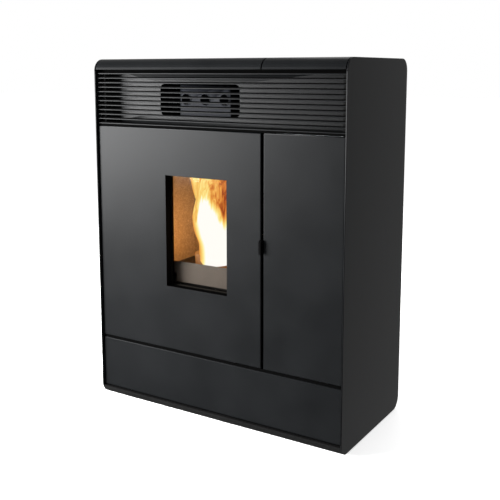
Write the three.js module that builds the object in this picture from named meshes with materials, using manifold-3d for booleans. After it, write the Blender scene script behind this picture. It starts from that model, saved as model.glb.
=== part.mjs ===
// Slim ducted pellet stove, built from the separate pieces it is put together from.
// Millimetres. +Z is up, the front faces -Y and +X is the viewer's right.
// While it is drawn, Y = 0 is the plane of the side panels' front edges; the group at the end
// moves the origin to the middle of the footprint, on the floor.

import * as THREE from 'three';
import { mergeVertices } from 'three/addons/utils/BufferGeometryUtils.js';
import Module from 'manifold-3d';

// ---------------------------------------------------------------- driving sizes: casing
const casingWidth = 890;
const casingDepth = 430;
const casingHeight = 1121;
const casingCorner = 38;
const footProud = 3;
const sidePlate = 3;
const coverSheet = 2;
const touchGap = 0.3;
const cornerSteps = 4;

// front panels
const panelRecess = 8;
const panelFold = 14;
const panelBend = 3;
const panelSideGap = 3.5;
const baseBandHeight = 34;
const lowerPanelGap = 3;
const lowerPanelHeight = 166;
const doorGap = 9;
const rightPanelWidth = 255.5;
const grilleBand = 179;

// louvred air grille
const slatPitch = 14.3;
const slatLip = 3.2;
const slatBlade = 1.4;
const slatOverDoor = 9;
const grilleComb = 2;
const backplateDepth = 72;
const backplateSheet = 1.5;
const apertureWidth = 297;
const apertureHeight = 99;
const apertureCorner = 16;

// top
const coverEdgeGap = 3;
const coverLipDrop = 33;
const coverFold = 12;
const lidSeam = 4;
const lidGroove = 9;
const lidRearStrip = 60;
const hingeBarrel = 4;
const hingeBarrelBore = 2;
const lidHingeLength = 200;

// inner frame
const frameTube = 20;
const frameFront = 26;
const frameCorner = 30;
const dividerSheet = 2;
const dividerFlange = 20;

// fire door
const windowWidth = 227;
const windowFromRight = 118;
const windowFromTop = 144;
const windowFromBottom = 204;
const doorFrameDepth = 19.7;
const glassThickness = 4;
const glassSetback = 23;
const glassMargin = 7;
const sealRope = 10;
const hingeInset = 7;
const hingePinRadius = 3;
const hingePlate = 4;
const hingeFromBottom = 58;
const hingeFromTop = 62;

// fire side
const windowWallGap = 7;
const fireWidth = 298;
const fireFront = 46;
const fireDepth = 202;
const fireSteel = 4;
const linerThickness = 15;
const hearthOverSill = 42;
const hearthThickness = 8;
const hearthLip = 30;
const ashSpace = 83;
const standAngle = 30;
const standSheet = 3;
const standFromFront = 14;
const standDepth = 136;
const mouthFloorStep = 10;
const mouthRoofStep = 28;
const roofUnderDoorTop = 22;
const linerUnderRoof = 100;
const chamberWidth = 190;
const chamberFront = 105;
const chamberUnderTop = 66;
const chamberFlange = 14;
const tubeRadius = 19;
const tubeWall = 2;
const tubeSpacing = 72;
const tubeUnderChamber = 59;
const tubeSides = 16;
const potRadius = 50;
const potDepth = 70;
const potWall = 5;
const potProud = 52;
const potCentreY = 130;

// pellet feed
const hopperSheet = 1.5;
const hopperUnderTop = 19;
const funnelHeight = 210;
const hopperFromRear = 90;
const gridUnderMouth = 65;
const gridSlots = 7;
const neckWidth = 62;
const neckHalf = 24;
const neckFromFoot = 5;
const neckRise = 180;
const neckDip = 15;
const augerAngle = 62;
const augerTubeRadius = 30;
const augerTubeWall = 2.5;
const augerFlightRadius = 26;
const augerShaftRadius = 8;
const augerShaftPlay = 0.6;
const augerPitch = 50;
const augerFromSide = 106.7;
const augerMouthFrom = 100;
const augerMouthTo = 30;
const chuteRun = 67.4;
const chuteFromPot = 46;
const chuteOverPot = 4.3;
const chuteSill = 8;
const chuteDrop = 46;
const chuteHalf = 26;
const chutePlay = 3;
const augerY = 170;

// air, smoke and electrics
const rearProud = 45;
const flueRadius = 40;
const flueWall = 1.5;
const pipeSides = 24;
const intakeRadius = 25;
const intakeProud = 30;
const ductSheet = 1.5;
const ductWidth = 46;
const ductDepth = 64;
const ductClearance = 3;
const plenumFromFire = 22.7;
const plenumFromBack = 8;
const flueRise = 45;
const intakeOverFloor = 37;
const inletFromSide = 95;
const inletHeightZ = 125;
const boxWidth = 144;
const boxDepth = 38;
const boxHeight = 168;
const panelFlange = 18;
const smokeFanRadius = 66;
const smokeFanWidth = 56;
const smokeFanZ = 150;
const drumRadius = 34;
const drumLength = 166;
const drumBlades = 16;
const drumZ = 112;

// ---------------------------------------------------------------- sizes that follow
const floorZ = footProud;
const topZ = footProud + casingHeight;
const innerHalf = casingWidth / 2 - sidePlate;
const fitHalf = innerHalf - touchGap;
const panelHalf = innerHalf - panelSideGap;
const panelFace = panelRecess;
const panelBack = panelRecess + panelFold;
const coverLipZ = topZ - coverLipDrop;
const rightPanelLeft = panelHalf - rightPanelWidth;
const doorLeft = -panelHalf;
const doorRight = rightPanelLeft - doorGap;
const lowerPanelBottom = baseBandHeight + lowerPanelGap;
const lowerPanelTop = lowerPanelBottom + lowerPanelHeight;
const doorBottom = lowerPanelTop + doorGap;
const doorTop = coverLipZ - grilleBand;
const windowRight = doorRight - windowFromRight;
const windowLeft = windowRight - windowWidth;
const windowBottom = doorBottom + windowFromBottom;
const windowTop = doorTop - windowFromTop;
const lowestSlat = doorTop + slatOverDoor;
const slatCount = 1 + Math.floor((coverLipZ - lowestSlat - slatPitch / 2) / slatPitch);
const frameRear = casingDepth - frameFront;
const slatDepth = frameFront - touchGap - panelRecess;
const coverHalf = innerHalf - coverEdgeGap;
const lidLeft = doorRight + doorGap / 2 + lidSeam / 2;
const coverCutLeft = lidLeft - lidSeam;
const coverCutRear = casingDepth - lidRearStrip;
const lidRear = coverCutRear - lidGroove;
const lidAxisY = coverCutRear - lidGroove / 2;
const lidAxisZ = topZ - hingeBarrel;
const hingeAxisX = doorLeft + hingeInset;
const hingeAxisY = panelFace + hingeInset;
const glassFront = panelFace + glassSetback;
const doorFrameFront = panelBack + touchGap;
const doorFrameBack = doorFrameFront + doorFrameDepth;
const fireHalf = fireWidth / 2;
const fireCentreX = windowRight + windowWallGap - fireHalf;
const hearthHeight = windowBottom + hearthOverSill;
const fireFloor = hearthHeight - ashSpace;
const mouthFloor = fireFloor + mouthFloorStep;
const fireRoof = doorTop - roofUnderDoorTop;
const mouthRoof = fireRoof - mouthRoofStep;
const shellHalf = fireHalf + linerThickness + touchGap;
const shellX0 = fireCentreX - shellHalf - fireSteel;
const shellX1 = fireCentreX + shellHalf + fireSteel;
const fireInnerFront = fireFront + fireSteel;
const linerFace = fireFront + fireDepth;
const shellRear = linerFace + linerThickness + touchGap + fireSteel;
const sealCentreHalf = fireHalf + 9;
const flangeHalf = fireHalf + 27;
const chamberHalf = chamberWidth / 2;
const chamberTop = topZ - chamberUnderTop;
const tubeHeight = chamberTop - tubeUnderChamber;
const backInner = casingDepth - coverSheet;
const plenumFront = shellRear + plenumFromFire;
const plenumRear = backInner - plenumFromBack;
const ductX = fireCentreX + chamberHalf + ductClearance;
const ductY = shellRear + touchGap;
const fanX0 = ductX + ductWidth + touchGap;
const fanX1 = fanX0 + smokeFanWidth;
const smokeFanY = ductY + ductDepth / 2;
const potTop = hearthHeight + potProud;
const handleProud = 6;

// ---------------------------------------------------------------- finishes
const finishes = {
  paintedSteel: { color: 0x35373a, roughness: 0.55, metalness: 0.3 },
  galvanised: { color: 0x9a9da0, roughness: 0.45, metalness: 0.8 },
  stoveBlack: { color: 0x232323, roughness: 0.75, metalness: 0.2 },
  castIron: { color: 0x2e2d2c, roughness: 0.7, metalness: 0.6 },
  vermiculite: { color: 0xb5a58a, roughness: 0.95, metalness: 0.0 },
  glass: { color: 0xcfd6d2, roughness: 0.05, metalness: 0.0, transparent: true, opacity: 0.3 },
  rope: { color: 0x4a4a48, roughness: 0.95, metalness: 0.0 },
  plastic: { color: 0x1a1b1c, roughness: 0.5, metalness: 0.0 },
  steel: { color: 0xb7b9bb, roughness: 0.35, metalness: 0.9 },
  rubber: { color: 0x161616, roughness: 0.9, metalness: 0.0 },
};

// ---------------------------------------------------------------- solids
const wasm = await Module();
wasm.setup();

// A closed geometry becomes a solid; triangles that fold to a line at a pole are dropped.
function solid(geometry) {
  const bare = geometry.clone();
  bare.deleteAttribute('normal');
  bare.deleteAttribute('uv');
  const merged = mergeVertices(bare, 1e-4);
  const index = merged.index.array;
  const kept = [];
  for (let i = 0; i < index.length; i += 3) {
    const [a, b, c] = [index[i], index[i + 1], index[i + 2]];
    if (a !== b && b !== c && c !== a) kept.push(a, b, c);
  }
  return new wasm.Manifold(new wasm.Mesh({
    numProp: 3,
    vertProperties: new Float32Array(merged.attributes.position.array),
    triVerts: new Uint32Array(kept),
  }));
}

const cut = (body, ...tools) => tools.reduce((left, tool) => left.subtract(tool), body);
const join = (body, ...more) => more.reduce((sum, piece) => sum.add(piece), body);

function block(x0, x1, y0, y1, z0, z1) {
  const box = new THREE.BoxGeometry(x1 - x0, y1 - y0, z1 - z0);
  box.translate((x0 + x1) / 2, (y0 + y1) / 2, (z0 + z1) / 2);
  return solid(box);
}

// An outline drawn in (Y, Z), (X, Z) or (X, Y) and pushed along X, Y or Z.
const axisBasis = {
  x: [new THREE.Vector3(0, 1, 0), new THREE.Vector3(0, 0, 1), new THREE.Vector3(1, 0, 0)],
  y: [new THREE.Vector3(1, 0, 0), new THREE.Vector3(0, 0, 1), new THREE.Vector3(0, -1, 0)],
  z: [new THREE.Vector3(1, 0, 0), new THREE.Vector3(0, 1, 0), new THREE.Vector3(0, 0, 1)],
};

function extrude(shape, axis, from, to, curveSegments = cornerSteps) {
  const depth = to - from;
  const geometry = new THREE.ExtrudeGeometry(shape, { depth, bevelEnabled: false, curveSegments });
  geometry.applyMatrix4(new THREE.Matrix4().makeBasis(...axisBasis[axis]));
  if (axis === 'x') geometry.translate(from, 0, 0);
  if (axis === 'y') geometry.translate(0, to, 0);
  if (axis === 'z') geometry.translate(0, 0, from);
  return solid(geometry);
}

function rectangle(u0, u1, v0, v1, radius = 0) {
  const shape = new THREE.Shape();
  if (radius === 0) {
    shape.moveTo(u0, v0);
    shape.lineTo(u1, v0);
    shape.lineTo(u1, v1);
    shape.lineTo(u0, v1);
    shape.closePath();
    return shape;
  }
  shape.moveTo(u0 + radius, v0);
  shape.lineTo(u1 - radius, v0);
  shape.absarc(u1 - radius, v0 + radius, radius, -Math.PI / 2, 0, false);
  shape.lineTo(u1, v1 - radius);
  shape.absarc(u1 - radius, v1 - radius, radius, 0, Math.PI / 2, false);
  shape.lineTo(u0 + radius, v1);
  shape.absarc(u0 + radius, v1 - radius, radius, Math.PI / 2, Math.PI, false);
  shape.lineTo(u0, v0 + radius);
  shape.absarc(u0 + radius, v0 + radius, radius, Math.PI, Math.PI * 1.5, false);
  return shape;
}

function polygon(points) {
  return new THREE.Shape(points.map(([u, v]) => new THREE.Vector2(u, v)));
}

// A round bar along an axis; u and v are its centre in the outline's plane. An arc in an
// outline gets two faces for each of its curve segments.
function rod(axis, u, v, radius, from, to, sides = 24) {
  const shape = new THREE.Shape();
  shape.absarc(u, v, radius, 0, Math.PI * 2, false);
  return extrude(shape, axis, from, to, sides / 2);
}

function pipe(axis, u, v, radius, wall, from, to, sides) {
  return cut(rod(axis, u, v, radius, from, to, sides),
    rod(axis, u, v, radius - wall, from - 1, to + 1, sides));
}

// A revolved solid about Z, from [radius, height] points that start and end on the axis.
function revolve(points, sides = 28) {
  return solid(new THREE.LatheGeometry(points.map(([r, z]) => new THREE.Vector2(r, z)), sides)
    .rotateX(Math.PI / 2));
}

function geometryOf(body) {
  const mesh = body.getMesh();
  const geometry = new THREE.BufferGeometry();
  geometry.setAttribute('position', new THREE.BufferAttribute(mesh.vertProperties, 3));
  geometry.setIndex(new THREE.BufferAttribute(mesh.triVerts, 1));
  geometry.computeVertexNormals();
  return geometry;
}

// ---------------------------------------------------------------- scene graph
const stove = new THREE.Group();

// A group whose origin is a joint axis, for the pieces that turn about it.
function pivotGroup(parent, x, y, z) {
  const group = new THREE.Group();
  group.userData.at = new THREE.Vector3(x, y, z);
  group.position.copy(group.userData.at).sub(parent.userData.at ?? new THREE.Vector3());
  parent.add(group);
  return group;
}

// Pieces are drawn where they sit; inside a pivot group they are shifted back to its origin.
function addPiece(parent, name, body, finish, place = null) {
  const geometry = geometryOf(body);
  const at = parent.userData.at;
  if (at) geometry.translate(-at.x, -at.y, -at.z);
  const mesh = new THREE.Mesh(geometry, new THREE.MeshStandardMaterial(finishes[finish]));
  mesh.name = name;
  if (place) mesh.position.set(...place);
  parent.add(mesh);
}

// ---------------------------------------------------------------- side panels
// Full rounded-rectangle plates; the back edge carries a folded flange for the back panel.
function sidePanel(side) {
  const outer = side * casingWidth / 2;
  const inner = side * innerHalf;
  const outline = rectangle(0, casingDepth, floorZ, topZ, casingCorner);
  const plate = extrude(outline, 'x', Math.min(outer, inner), Math.max(outer, inner));
  const flangeRear = backInner - touchGap;
  const flangeEnds = [inner - side * panelFlange, inner + side * 0.5].sort((a, b) => a - b);
  const flange = block(...flangeEnds, flangeRear - coverSheet, flangeRear,
    floorZ + casingCorner + 20, topZ - casingCorner - 20);
  return join(plate, flange);
}

addPiece(stove, 'side_panel_left', sidePanel(-1), 'paintedSteel');
addPiece(stove, 'side_panel_right', sidePanel(1), 'paintedSteel');

// ---------------------------------------------------------------- base tray
const footInset = 65;
const footFromEdge = 60;
const footX = casingWidth / 2 - footInset;
const footFrontY = footFromEdge;
const footRearY = casingDepth - footFromEdge;
const footStud = 5;
const trayRearTop = floorZ + casingCorner + 20;

function baseTray() {
  const r = casingCorner;
  const ri = casingCorner - coverSheet;
  const centreZ = floorZ + r;
  const lipOuter = Math.PI + Math.asin((centreZ - baseBandHeight) / r);
  const lipInner = Math.PI + Math.asin((centreZ - baseBandHeight + coverSheet) / ri);
  const profile = new THREE.Shape();
  profile.absarc(r, centreZ, r, lipOuter, Math.PI * 1.5, false);
  profile.absarc(casingDepth - r, centreZ, r, -Math.PI / 2, 0, false);
  profile.lineTo(casingDepth, trayRearTop);
  profile.lineTo(casingDepth - coverSheet, trayRearTop);
  profile.absarc(casingDepth - r, centreZ, ri, 0, -Math.PI / 2, true);
  profile.absarc(r, centreZ, ri, Math.PI * 1.5, lipInner, true);
  profile.lineTo(coverFold + 4, baseBandHeight - coverSheet);
  profile.lineTo(coverFold + 4, baseBandHeight);
  profile.closePath();
  let tray = extrude(profile, 'x', -fitHalf, fitHalf);
  for (const x of [-footX, footX]) {
    for (const y of [footFrontY, footRearY]) {
      tray = cut(tray, rod('z', x, y, footStud + 2 * touchGap, floorZ - 1, floorZ + coverSheet + 1, 12));
    }
  }
  const slotLength = 90;
  const slotWidth = 7;
  const slotPitch = 16;
  for (let y = plenumFront + 8; y < casingDepth - casingCorner - slotWidth; y += slotPitch) {
    tray = cut(tray, block(fireCentreX - slotLength / 2, fireCentreX + slotLength / 2,
      y, y + slotWidth, floorZ - 1, floorZ + coverSheet + 1));
  }
  return tray;
}

addPiece(stove, 'base_tray', baseTray(), 'paintedSteel');

// ---------------------------------------------------------------- levelling feet
function levellingFoot() {
  const trayTop = floorZ + coverSheet;
  const pad = revolve([[0, 0], [17, 0], [18, 0.8], [18, floorZ - touchGap], [footStud, floorZ - touchGap],
    [footStud, 41], [0, 41]], 12);
  const nut = new THREE.Shape();
  for (let i = 0; i < 6; i += 1) {
    const a = i * Math.PI / 3;
    if (i === 0) nut.moveTo(9.8 * Math.cos(a), 9.8 * Math.sin(a));
    else nut.lineTo(9.8 * Math.cos(a), 9.8 * Math.sin(a));
  }
  return join(pad, extrude(nut, 'z', trayTop + touchGap, trayTop + 8));
}

const foot = levellingFoot();
addPiece(stove, 'foot_front_left', foot, 'rubber', [-footX, footFrontY, 0]);
addPiece(stove, 'foot_front_right', foot, 'rubber', [footX, footFrontY, 0]);
addPiece(stove, 'foot_rear_left', foot, 'rubber', [-footX, footRearY, 0]);
addPiece(stove, 'foot_rear_right', foot, 'rubber', [footX, footRearY, 0]);

// ---------------------------------------------------------------- inner frame
// A clip on the frame: a seat behind a front panel's folded edge, and a tongue inside the fold.
function panelClip(panelEdge, side, level) {
  const half = 9;
  const span = (a, b, front) => block(Math.min(a, b), Math.max(a, b), front, frameFront + 1,
    level - half, level + half);
  const inner = panelEdge - side * (coverSheet + touchGap);
  return join(span(panelEdge + side * 2, inner - side * 6, panelBack + touchGap),
    span(inner, inner - side * 4, panelBack - 8));
}

// One welded rectangle of square tube behind each side panel, with clips for the front panels.
function sideFrame(side) {
  const x0 = side > 0 ? fitHalf - frameTube : -fitHalf;
  const x1 = x0 + frameTube;
  const bottom = floorZ + coverSheet + touchGap;
  const top = topZ - coverSheet - touchGap;
  const outline = rectangle(frameFront, frameRear, bottom, top, frameCorner);
  const railZ = [doorBottom - doorGap / 2, doorTop + doorGap / 2];
  let z = bottom + frameTube;
  for (const level of [...railZ, top]) {
    const upper = level === top ? top - frameTube : level - frameTube / 2;
    const opening = rectangle(frameFront + frameTube, frameRear - frameTube, z, upper);
    outline.holes.push(opening);
    z = level + frameTube / 2;
  }
  let frame = extrude(outline, 'x', x0, x1, 3);
  const clipLevels = [lowerPanelBottom + 25, lowerPanelTop - 25];
  if (side > 0) clipLevels.push(doorBottom + 60, doorTop - 60);
  return join(frame, ...clipLevels.map((level) => panelClip(side * panelHalf, side, level)));
}

addPiece(stove, 'side_frame_left', sideFrame(-1), 'stoveBlack');
addPiece(stove, 'side_frame_right', sideFrame(1), 'stoveBlack');

// ---------------------------------------------------------------- folded front panels
// A sheet with rounded folds on all four edges and returns towards the back.
function foldedPanel(x0, x1, z0, z1, sheet = coverSheet) {
  const layer = (inset, bend, back) => {
    const plan = new THREE.Shape();
    const [left, right, front] = [x0 + inset, x1 - inset, panelFace + inset];
    plan.moveTo(right, back);
    plan.lineTo(left, back);
    plan.absarc(left + bend, front + bend, bend, Math.PI, Math.PI * 1.5, false);
    plan.absarc(right - bend, front + bend, bend, Math.PI * 1.5, Math.PI * 2, false);
    plan.closePath();
    const side = new THREE.Shape();
    side.moveTo(back, z1 - inset);
    side.absarc(front + bend, z1 - inset - bend, bend, Math.PI / 2, Math.PI, false);
    side.absarc(front + bend, z0 + inset + bend, bend, Math.PI, Math.PI * 1.5, false);
    side.lineTo(back, z0 + inset);
    side.closePath();
    return extrude(plan, 'z', z0 + inset, z1 - inset, 1)
      .intersect(extrude(side, 'x', left, right, 1));
  };
  return cut(layer(0, panelBend, panelBack), layer(sheet, panelBend - sheet, panelBack + 5));
}

addPiece(stove, 'lower_front_panel',
  foldedPanel(-panelHalf, panelHalf, lowerPanelBottom, lowerPanelTop), 'paintedSteel');
addPiece(stove, 'right_front_panel',
  foldedPanel(rightPanelLeft, panelHalf, doorBottom, doorTop), 'paintedSteel');

// ---------------------------------------------------------------- air grille
// Blades with a lip at the front, held by a comb at each end.
function airGrille() {
  const y0 = panelFace;
  const y1 = panelFace + slatDepth;
  const nose = 3.5;
  const half = slatLip / 2;
  const blade = (z) => polygon([[y0, z - half + 0.6], [y0 + 0.6, z - half], [y0 + nose - 1, z - half],
    [y0 + nose, z - slatBlade / 2], [y1, z - slatBlade / 2], [y1, z + slatBlade / 2],
    [y0 + nose, z + slatBlade / 2], [y0 + nose - 1, z + half], [y0 + 0.6, z + half], [y0, z + half - 0.6]]);
  const combBottom = lowestSlat - 6;
  const combTop = lowestSlat + (slatCount - 1) * slatPitch + 6;
  let grille = block(-panelHalf, -panelHalf + grilleComb, y0 + 4, y1, combBottom, combTop);
  grille = join(grille, block(panelHalf - grilleComb, panelHalf, y0 + 4, y1, combBottom, combTop));
  for (let i = 0; i < slatCount; i += 1) {
    const slat = extrude(blade(lowestSlat + i * slatPitch), 'x', -panelHalf + 0.5, panelHalf - 0.5);
    grille = join(grille, slat);
  }
  return grille;
}

addPiece(stove, 'air_grille', airGrille(), 'paintedSteel');

// The plate behind the blades; the warm air leaves through its rounded aperture.
const backplateBottom = doorTop + 4;
const backplateTop = coverLipZ - 1;
const apertureZ = tubeHeight - 1.5;

function grilleBackplate() {
  const y0 = backplateDepth;
  const y1 = backplateDepth + backplateSheet;
  const outline = rectangle(-fitHalf, fitHalf, backplateBottom, backplateTop);
  outline.holes.push(rectangle(fireCentreX - apertureWidth / 2, fireCentreX + apertureWidth / 2,
    apertureZ - apertureHeight / 2, apertureZ + apertureHeight / 2, apertureCorner));
  let plate = extrude(outline, 'y', y0, y1, 3);
  const railTop = doorTop + doorGap / 2 + frameTube / 2 + touchGap;
  const railFace = fitHalf - frameTube - touchGap;
  for (const [x0, x1] of [[-casingWidth, -railFace], [railFace, casingWidth]]) {
    plate = cut(plate, block(x0, x1, y0 - 1, y1 + 1, backplateBottom - 1, railTop));
  }
  const wingFront = frameFront + frameTube + touchGap;
  for (const side of [-1, 1]) {
    const x = [side * fitHalf, side * (fitHalf - backplateSheet)].sort((a, b) => a - b);
    plate = join(plate, block(...x, wingFront, y1, backplateBottom + 20, backplateTop));
  }
  const foldFront = wingFront + 6;
  const foldHalf = fitHalf - frameTube - 1;
  return join(plate,
    block(-foldHalf, foldHalf, foldFront, y1, backplateBottom, backplateBottom + backplateSheet),
    block(-foldHalf, foldHalf, foldFront, y1, backplateTop - backplateSheet, backplateTop));
}

addPiece(stove, 'grille_backplate', grilleBackplate(), 'stoveBlack');

// ---------------------------------------------------------------- top cover and hopper lid
// The cover's sheet rolls over the front in the casing's corner radius and turns in at its lip.
function rolledProfile(rearY, withRearRoll) {
  const r = casingCorner;
  const ri = casingCorner - coverSheet;
  const centreZ = topZ - r;
  const outerAngle = Math.PI - Math.asin((coverLipZ - centreZ) / r);
  const innerAngle = Math.PI - Math.asin((coverLipZ + coverSheet - centreZ) / ri);
  const profile = new THREE.Shape();
  profile.absarc(r, centreZ, r, outerAngle, Math.PI / 2, true);
  if (withRearRoll) {
    profile.absarc(rearY - r, centreZ, r, Math.PI / 2, 0, true);
    profile.lineTo(rearY, centreZ - 2);
    profile.lineTo(rearY - coverSheet, centreZ - 2);
    profile.absarc(rearY - r, centreZ, ri, 0, Math.PI / 2, false);
  } else {
    profile.lineTo(rearY, topZ);
    profile.lineTo(rearY, topZ - coverSheet);
  }
  profile.absarc(r, centreZ, ri, Math.PI / 2, innerAngle, false);
  profile.lineTo(coverFold + 2, coverLipZ + coverSheet);
  profile.lineTo(coverFold + 2, coverLipZ);
  profile.closePath();
  return profile;
}

// A folded edge under the sheet: a ribbon that follows the roll at constant depth.
function edgeReturn(x0, x1, rearY) {
  const r = casingCorner;
  const centreZ = topZ - r;
  const deep = r - coverFold;
  const outerAngle = Math.PI - Math.asin((coverLipZ - centreZ) / (r - 0.5));
  const deepAngle = Math.PI - Math.asin((coverLipZ - centreZ) / deep);
  const ribbon = new THREE.Shape();
  ribbon.absarc(r, centreZ, r - 0.5, outerAngle, Math.PI / 2, true);
  ribbon.lineTo(rearY, topZ - 0.5);
  ribbon.lineTo(rearY, topZ - coverFold);
  ribbon.absarc(r, centreZ, deep, Math.PI / 2, deepAngle, false);
  ribbon.closePath();
  return extrude(ribbon, 'x', x0, x1);
}

function topCover() {
  const sheet = extrude(rolledProfile(casingDepth, true), 'x', -coverHalf, coverHalf);
  const lidOpening = block(coverCutLeft, casingWidth, -5, coverCutRear, coverLipZ - 5, topZ + 5);
  const frameClear = frameFront + frameTube;
  const rearEnd = casingDepth - casingCorner;
  return join(cut(sheet, lidOpening),
    edgeReturn(coverCutLeft - coverSheet, coverCutLeft, coverCutRear),
    cut(edgeReturn(-coverHalf, -coverHalf + coverSheet, rearEnd),
      block(-casingWidth, -coverHalf + 10, frameFront - 1, rearEnd + 1, coverLipZ - 5,
        topZ - coverSheet - 0.01),
      block(-casingWidth, -coverHalf + 10, frameClear, rearEnd + 1, 0, topZ - coverSheet)));
}

addPiece(stove, 'top_cover', topCover(), 'paintedSteel');

const lidHingeX = (lidLeft + coverHalf) / 2;
const lidKnuckle = lidHingeLength / 2;
const barrelAlong = (x0, x1) => cut(rod('x', lidAxisY, lidAxisZ, hingeBarrel, x0, x1, 16),
  rod('x', lidAxisY, lidAxisZ, hingeBarrelBore, x0 - 1, x1 + 1, 12));

const lid = pivotGroup(stove, lidHingeX, lidAxisY, lidAxisZ);

function hopperLid() {
  const sheet = extrude(rolledProfile(lidRear, false), 'x', lidLeft, coverHalf);
  const returnRear = lidRear;
  const rightReturn = cut(edgeReturn(coverHalf - coverSheet, coverHalf, returnRear),
    block(coverHalf - 10, casingWidth, frameFront - 1, returnRear + 1, coverLipZ - 5,
      topZ - coverSheet - 0.01));
  const barrel = barrelAlong(lidHingeX - lidKnuckle / 2, lidHingeX + lidKnuckle / 2);
  const bore = rod('x', lidAxisY, lidAxisZ, hingeBarrelBore, lidLeft, coverHalf, 12);
  const strap = cut(block(lidHingeX - lidKnuckle / 2, lidHingeX + lidKnuckle / 2,
    lidRear - 14, lidAxisY, lidAxisZ - hingeBarrel, topZ - coverSheet + 0.5), bore);
  return join(sheet, edgeReturn(lidLeft, lidLeft + coverSheet, returnRear), rightReturn, strap, barrel);
}

addPiece(lid, 'hopper_lid', hopperLid(), 'paintedSteel');

// The fixed leaf hangs under the cover's rear strip; its outer barrels hold the hinge pin.
function lidHinge() {
  const halfLength = lidHingeLength / 2;
  const gapX = lidKnuckle / 2 + touchGap;
  const leafTop = topZ - coverSheet - touchGap;
  const pin = rod('x', lidAxisY, lidAxisZ, hingeBarrelBore - touchGap,
    lidHingeX - halfLength, lidHingeX + halfLength, 12);
  let leaf = block(lidHingeX - halfLength, lidHingeX + halfLength,
    coverCutRear + touchGap, coverCutRear + 20, leafTop - coverSheet, leafTop);
  for (const [x0, x1] of [[-halfLength, -gapX], [gapX, halfLength]]) {
    const ear = block(lidHingeX + x0, lidHingeX + x1, lidAxisY, coverCutRear + 2,
      leafTop - coverSheet, leafTop);
    leaf = join(leaf, ear, rod('x', lidAxisY, lidAxisZ, hingeBarrel, lidHingeX + x0, lidHingeX + x1, 16));
  }
  return join(leaf, pin);
}

addPiece(stove, 'lid_hinge', lidHinge(), 'steel');

// ---------------------------------------------------------------- back panel
const fluePlace = { x: (fanX0 + fanX1) / 2, z: smokeFanZ + flueRise };
const intakePlace = { x: fireCentreX - fireHalf + 20, z: fireFloor + intakeOverFloor };
const inletPlace = { x: casingWidth / 2 - inletFromSide, z: inletHeightZ };
const inletWidth = 58;
const inletHeight = 30;

function backPanel() {
  const bottom = trayRearTop + 1;
  const top = topZ - casingCorner - 3;
  const hole = (x0, x1, z0, z1) => block(x0, x1, backInner - 5, casingDepth + 5, z0, z1);
  const holes = [hole(inletPlace.x - inletWidth / 2 - touchGap,
    inletPlace.x + inletWidth / 2 + touchGap,
    inletPlace.z - inletHeight / 2 - touchGap, inletPlace.z + inletHeight / 2 + touchGap)];
  const slotWidth = 70;
  const slotHeight = 6;
  const slotRows = 5;
  const slotsLow = doorBottom + 38;
  const slotsHigh = doorTop - 152;
  const banks = [[-footX + 50, slotsLow], [-footX + 50, slotsHigh], [footX - 100, slotsHigh],
    [fireCentreX, trayRearTop + 29]];
  for (const [x, z] of banks) {
    for (let row = 0; row < slotRows; row += 1) {
      const v = z + row * slotHeight * 2.5;
      holes.push(hole(x - slotWidth / 2, x + slotWidth / 2, v, v + slotHeight));
    }
  }
  const pipeHole = (place, radius) => rod('y', place.x, place.z, radius + touchGap,
    backInner - 5, casingDepth + 5, pipeSides);
  const sheet = cut(block(-fitHalf, fitHalf, backInner, casingDepth, bottom, top), ...holes,
    pipeHole(fluePlace, flueRadius), pipeHole(intakePlace, intakeRadius));
  const ribHalf = 10;
  const ribDepth = 6;
  const ribFoot = doorBottom + 170;
  const ribHead = top - 60;
  const rib = (x) => block(x - ribHalf, x + ribHalf, backInner - ribDepth, backInner + 0.5, ribFoot, ribHead);
  return join(sheet, rib(doorRight - 14), rib(-footX - 20));
}

addPiece(stove, 'back_panel', backPanel(), 'galvanised');

// ---------------------------------------------------------------- where the door handle sits
const handleFromBottom = 370;
const handleCentreZ = doorBottom + handleFromBottom;
const handleTabHeight = 42;
const leverPivotY = 62;
const leverX0 = doorRight - 8.3;
const leverX1 = leverX0 + 6;

// ---------------------------------------------------------------- divider plate
// It parts the hot fire side from the pellet side and carries the right panel and the keeper.
const dividerX0 = doorRight + 4;
const dividerX1 = dividerX0 + dividerSheet;
const augerRun = THREE.MathUtils.degToRad(augerAngle);
const augerDirection = new THREE.Vector3(-Math.cos(augerRun), 0, Math.sin(augerRun));
// The chute's floor slopes at 45 degrees from the auger's lower opening to its lip over the pot;
// the auger is as long as it has to be from there to its foot.
const chuteMouthX = fireCentreX + potRadius + chuteFromPot;
const chuteFloorAt = (x) => potTop + chuteOverPot + x - chuteMouthX;
const chuteLowX = shellX1 + chuteRun;
const chuteLowZ = chuteFloorAt(chuteLowX) + chuteSill;
const chuteUnderAuger = augerTubeRadius + 1.2;
const chuteLap = 4;
const augerFootX = fitHalf - augerFromSide;
const augerMouthAlong = (augerFootX - chuteLowX - chuteUnderAuger * Math.sin(augerRun)) / Math.cos(augerRun);
const augerFootZ = chuteLowZ - augerMouthAlong * Math.sin(augerRun) + chuteUnderAuger * Math.cos(augerRun);
const augerLength = augerMouthAlong + chuteLap + augerMouthFrom;
const augerZAt = (x) => augerFootZ + (augerFootX - x) * Math.tan(augerRun);

const hopperMouthTop = topZ - hopperUnderTop;

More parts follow.
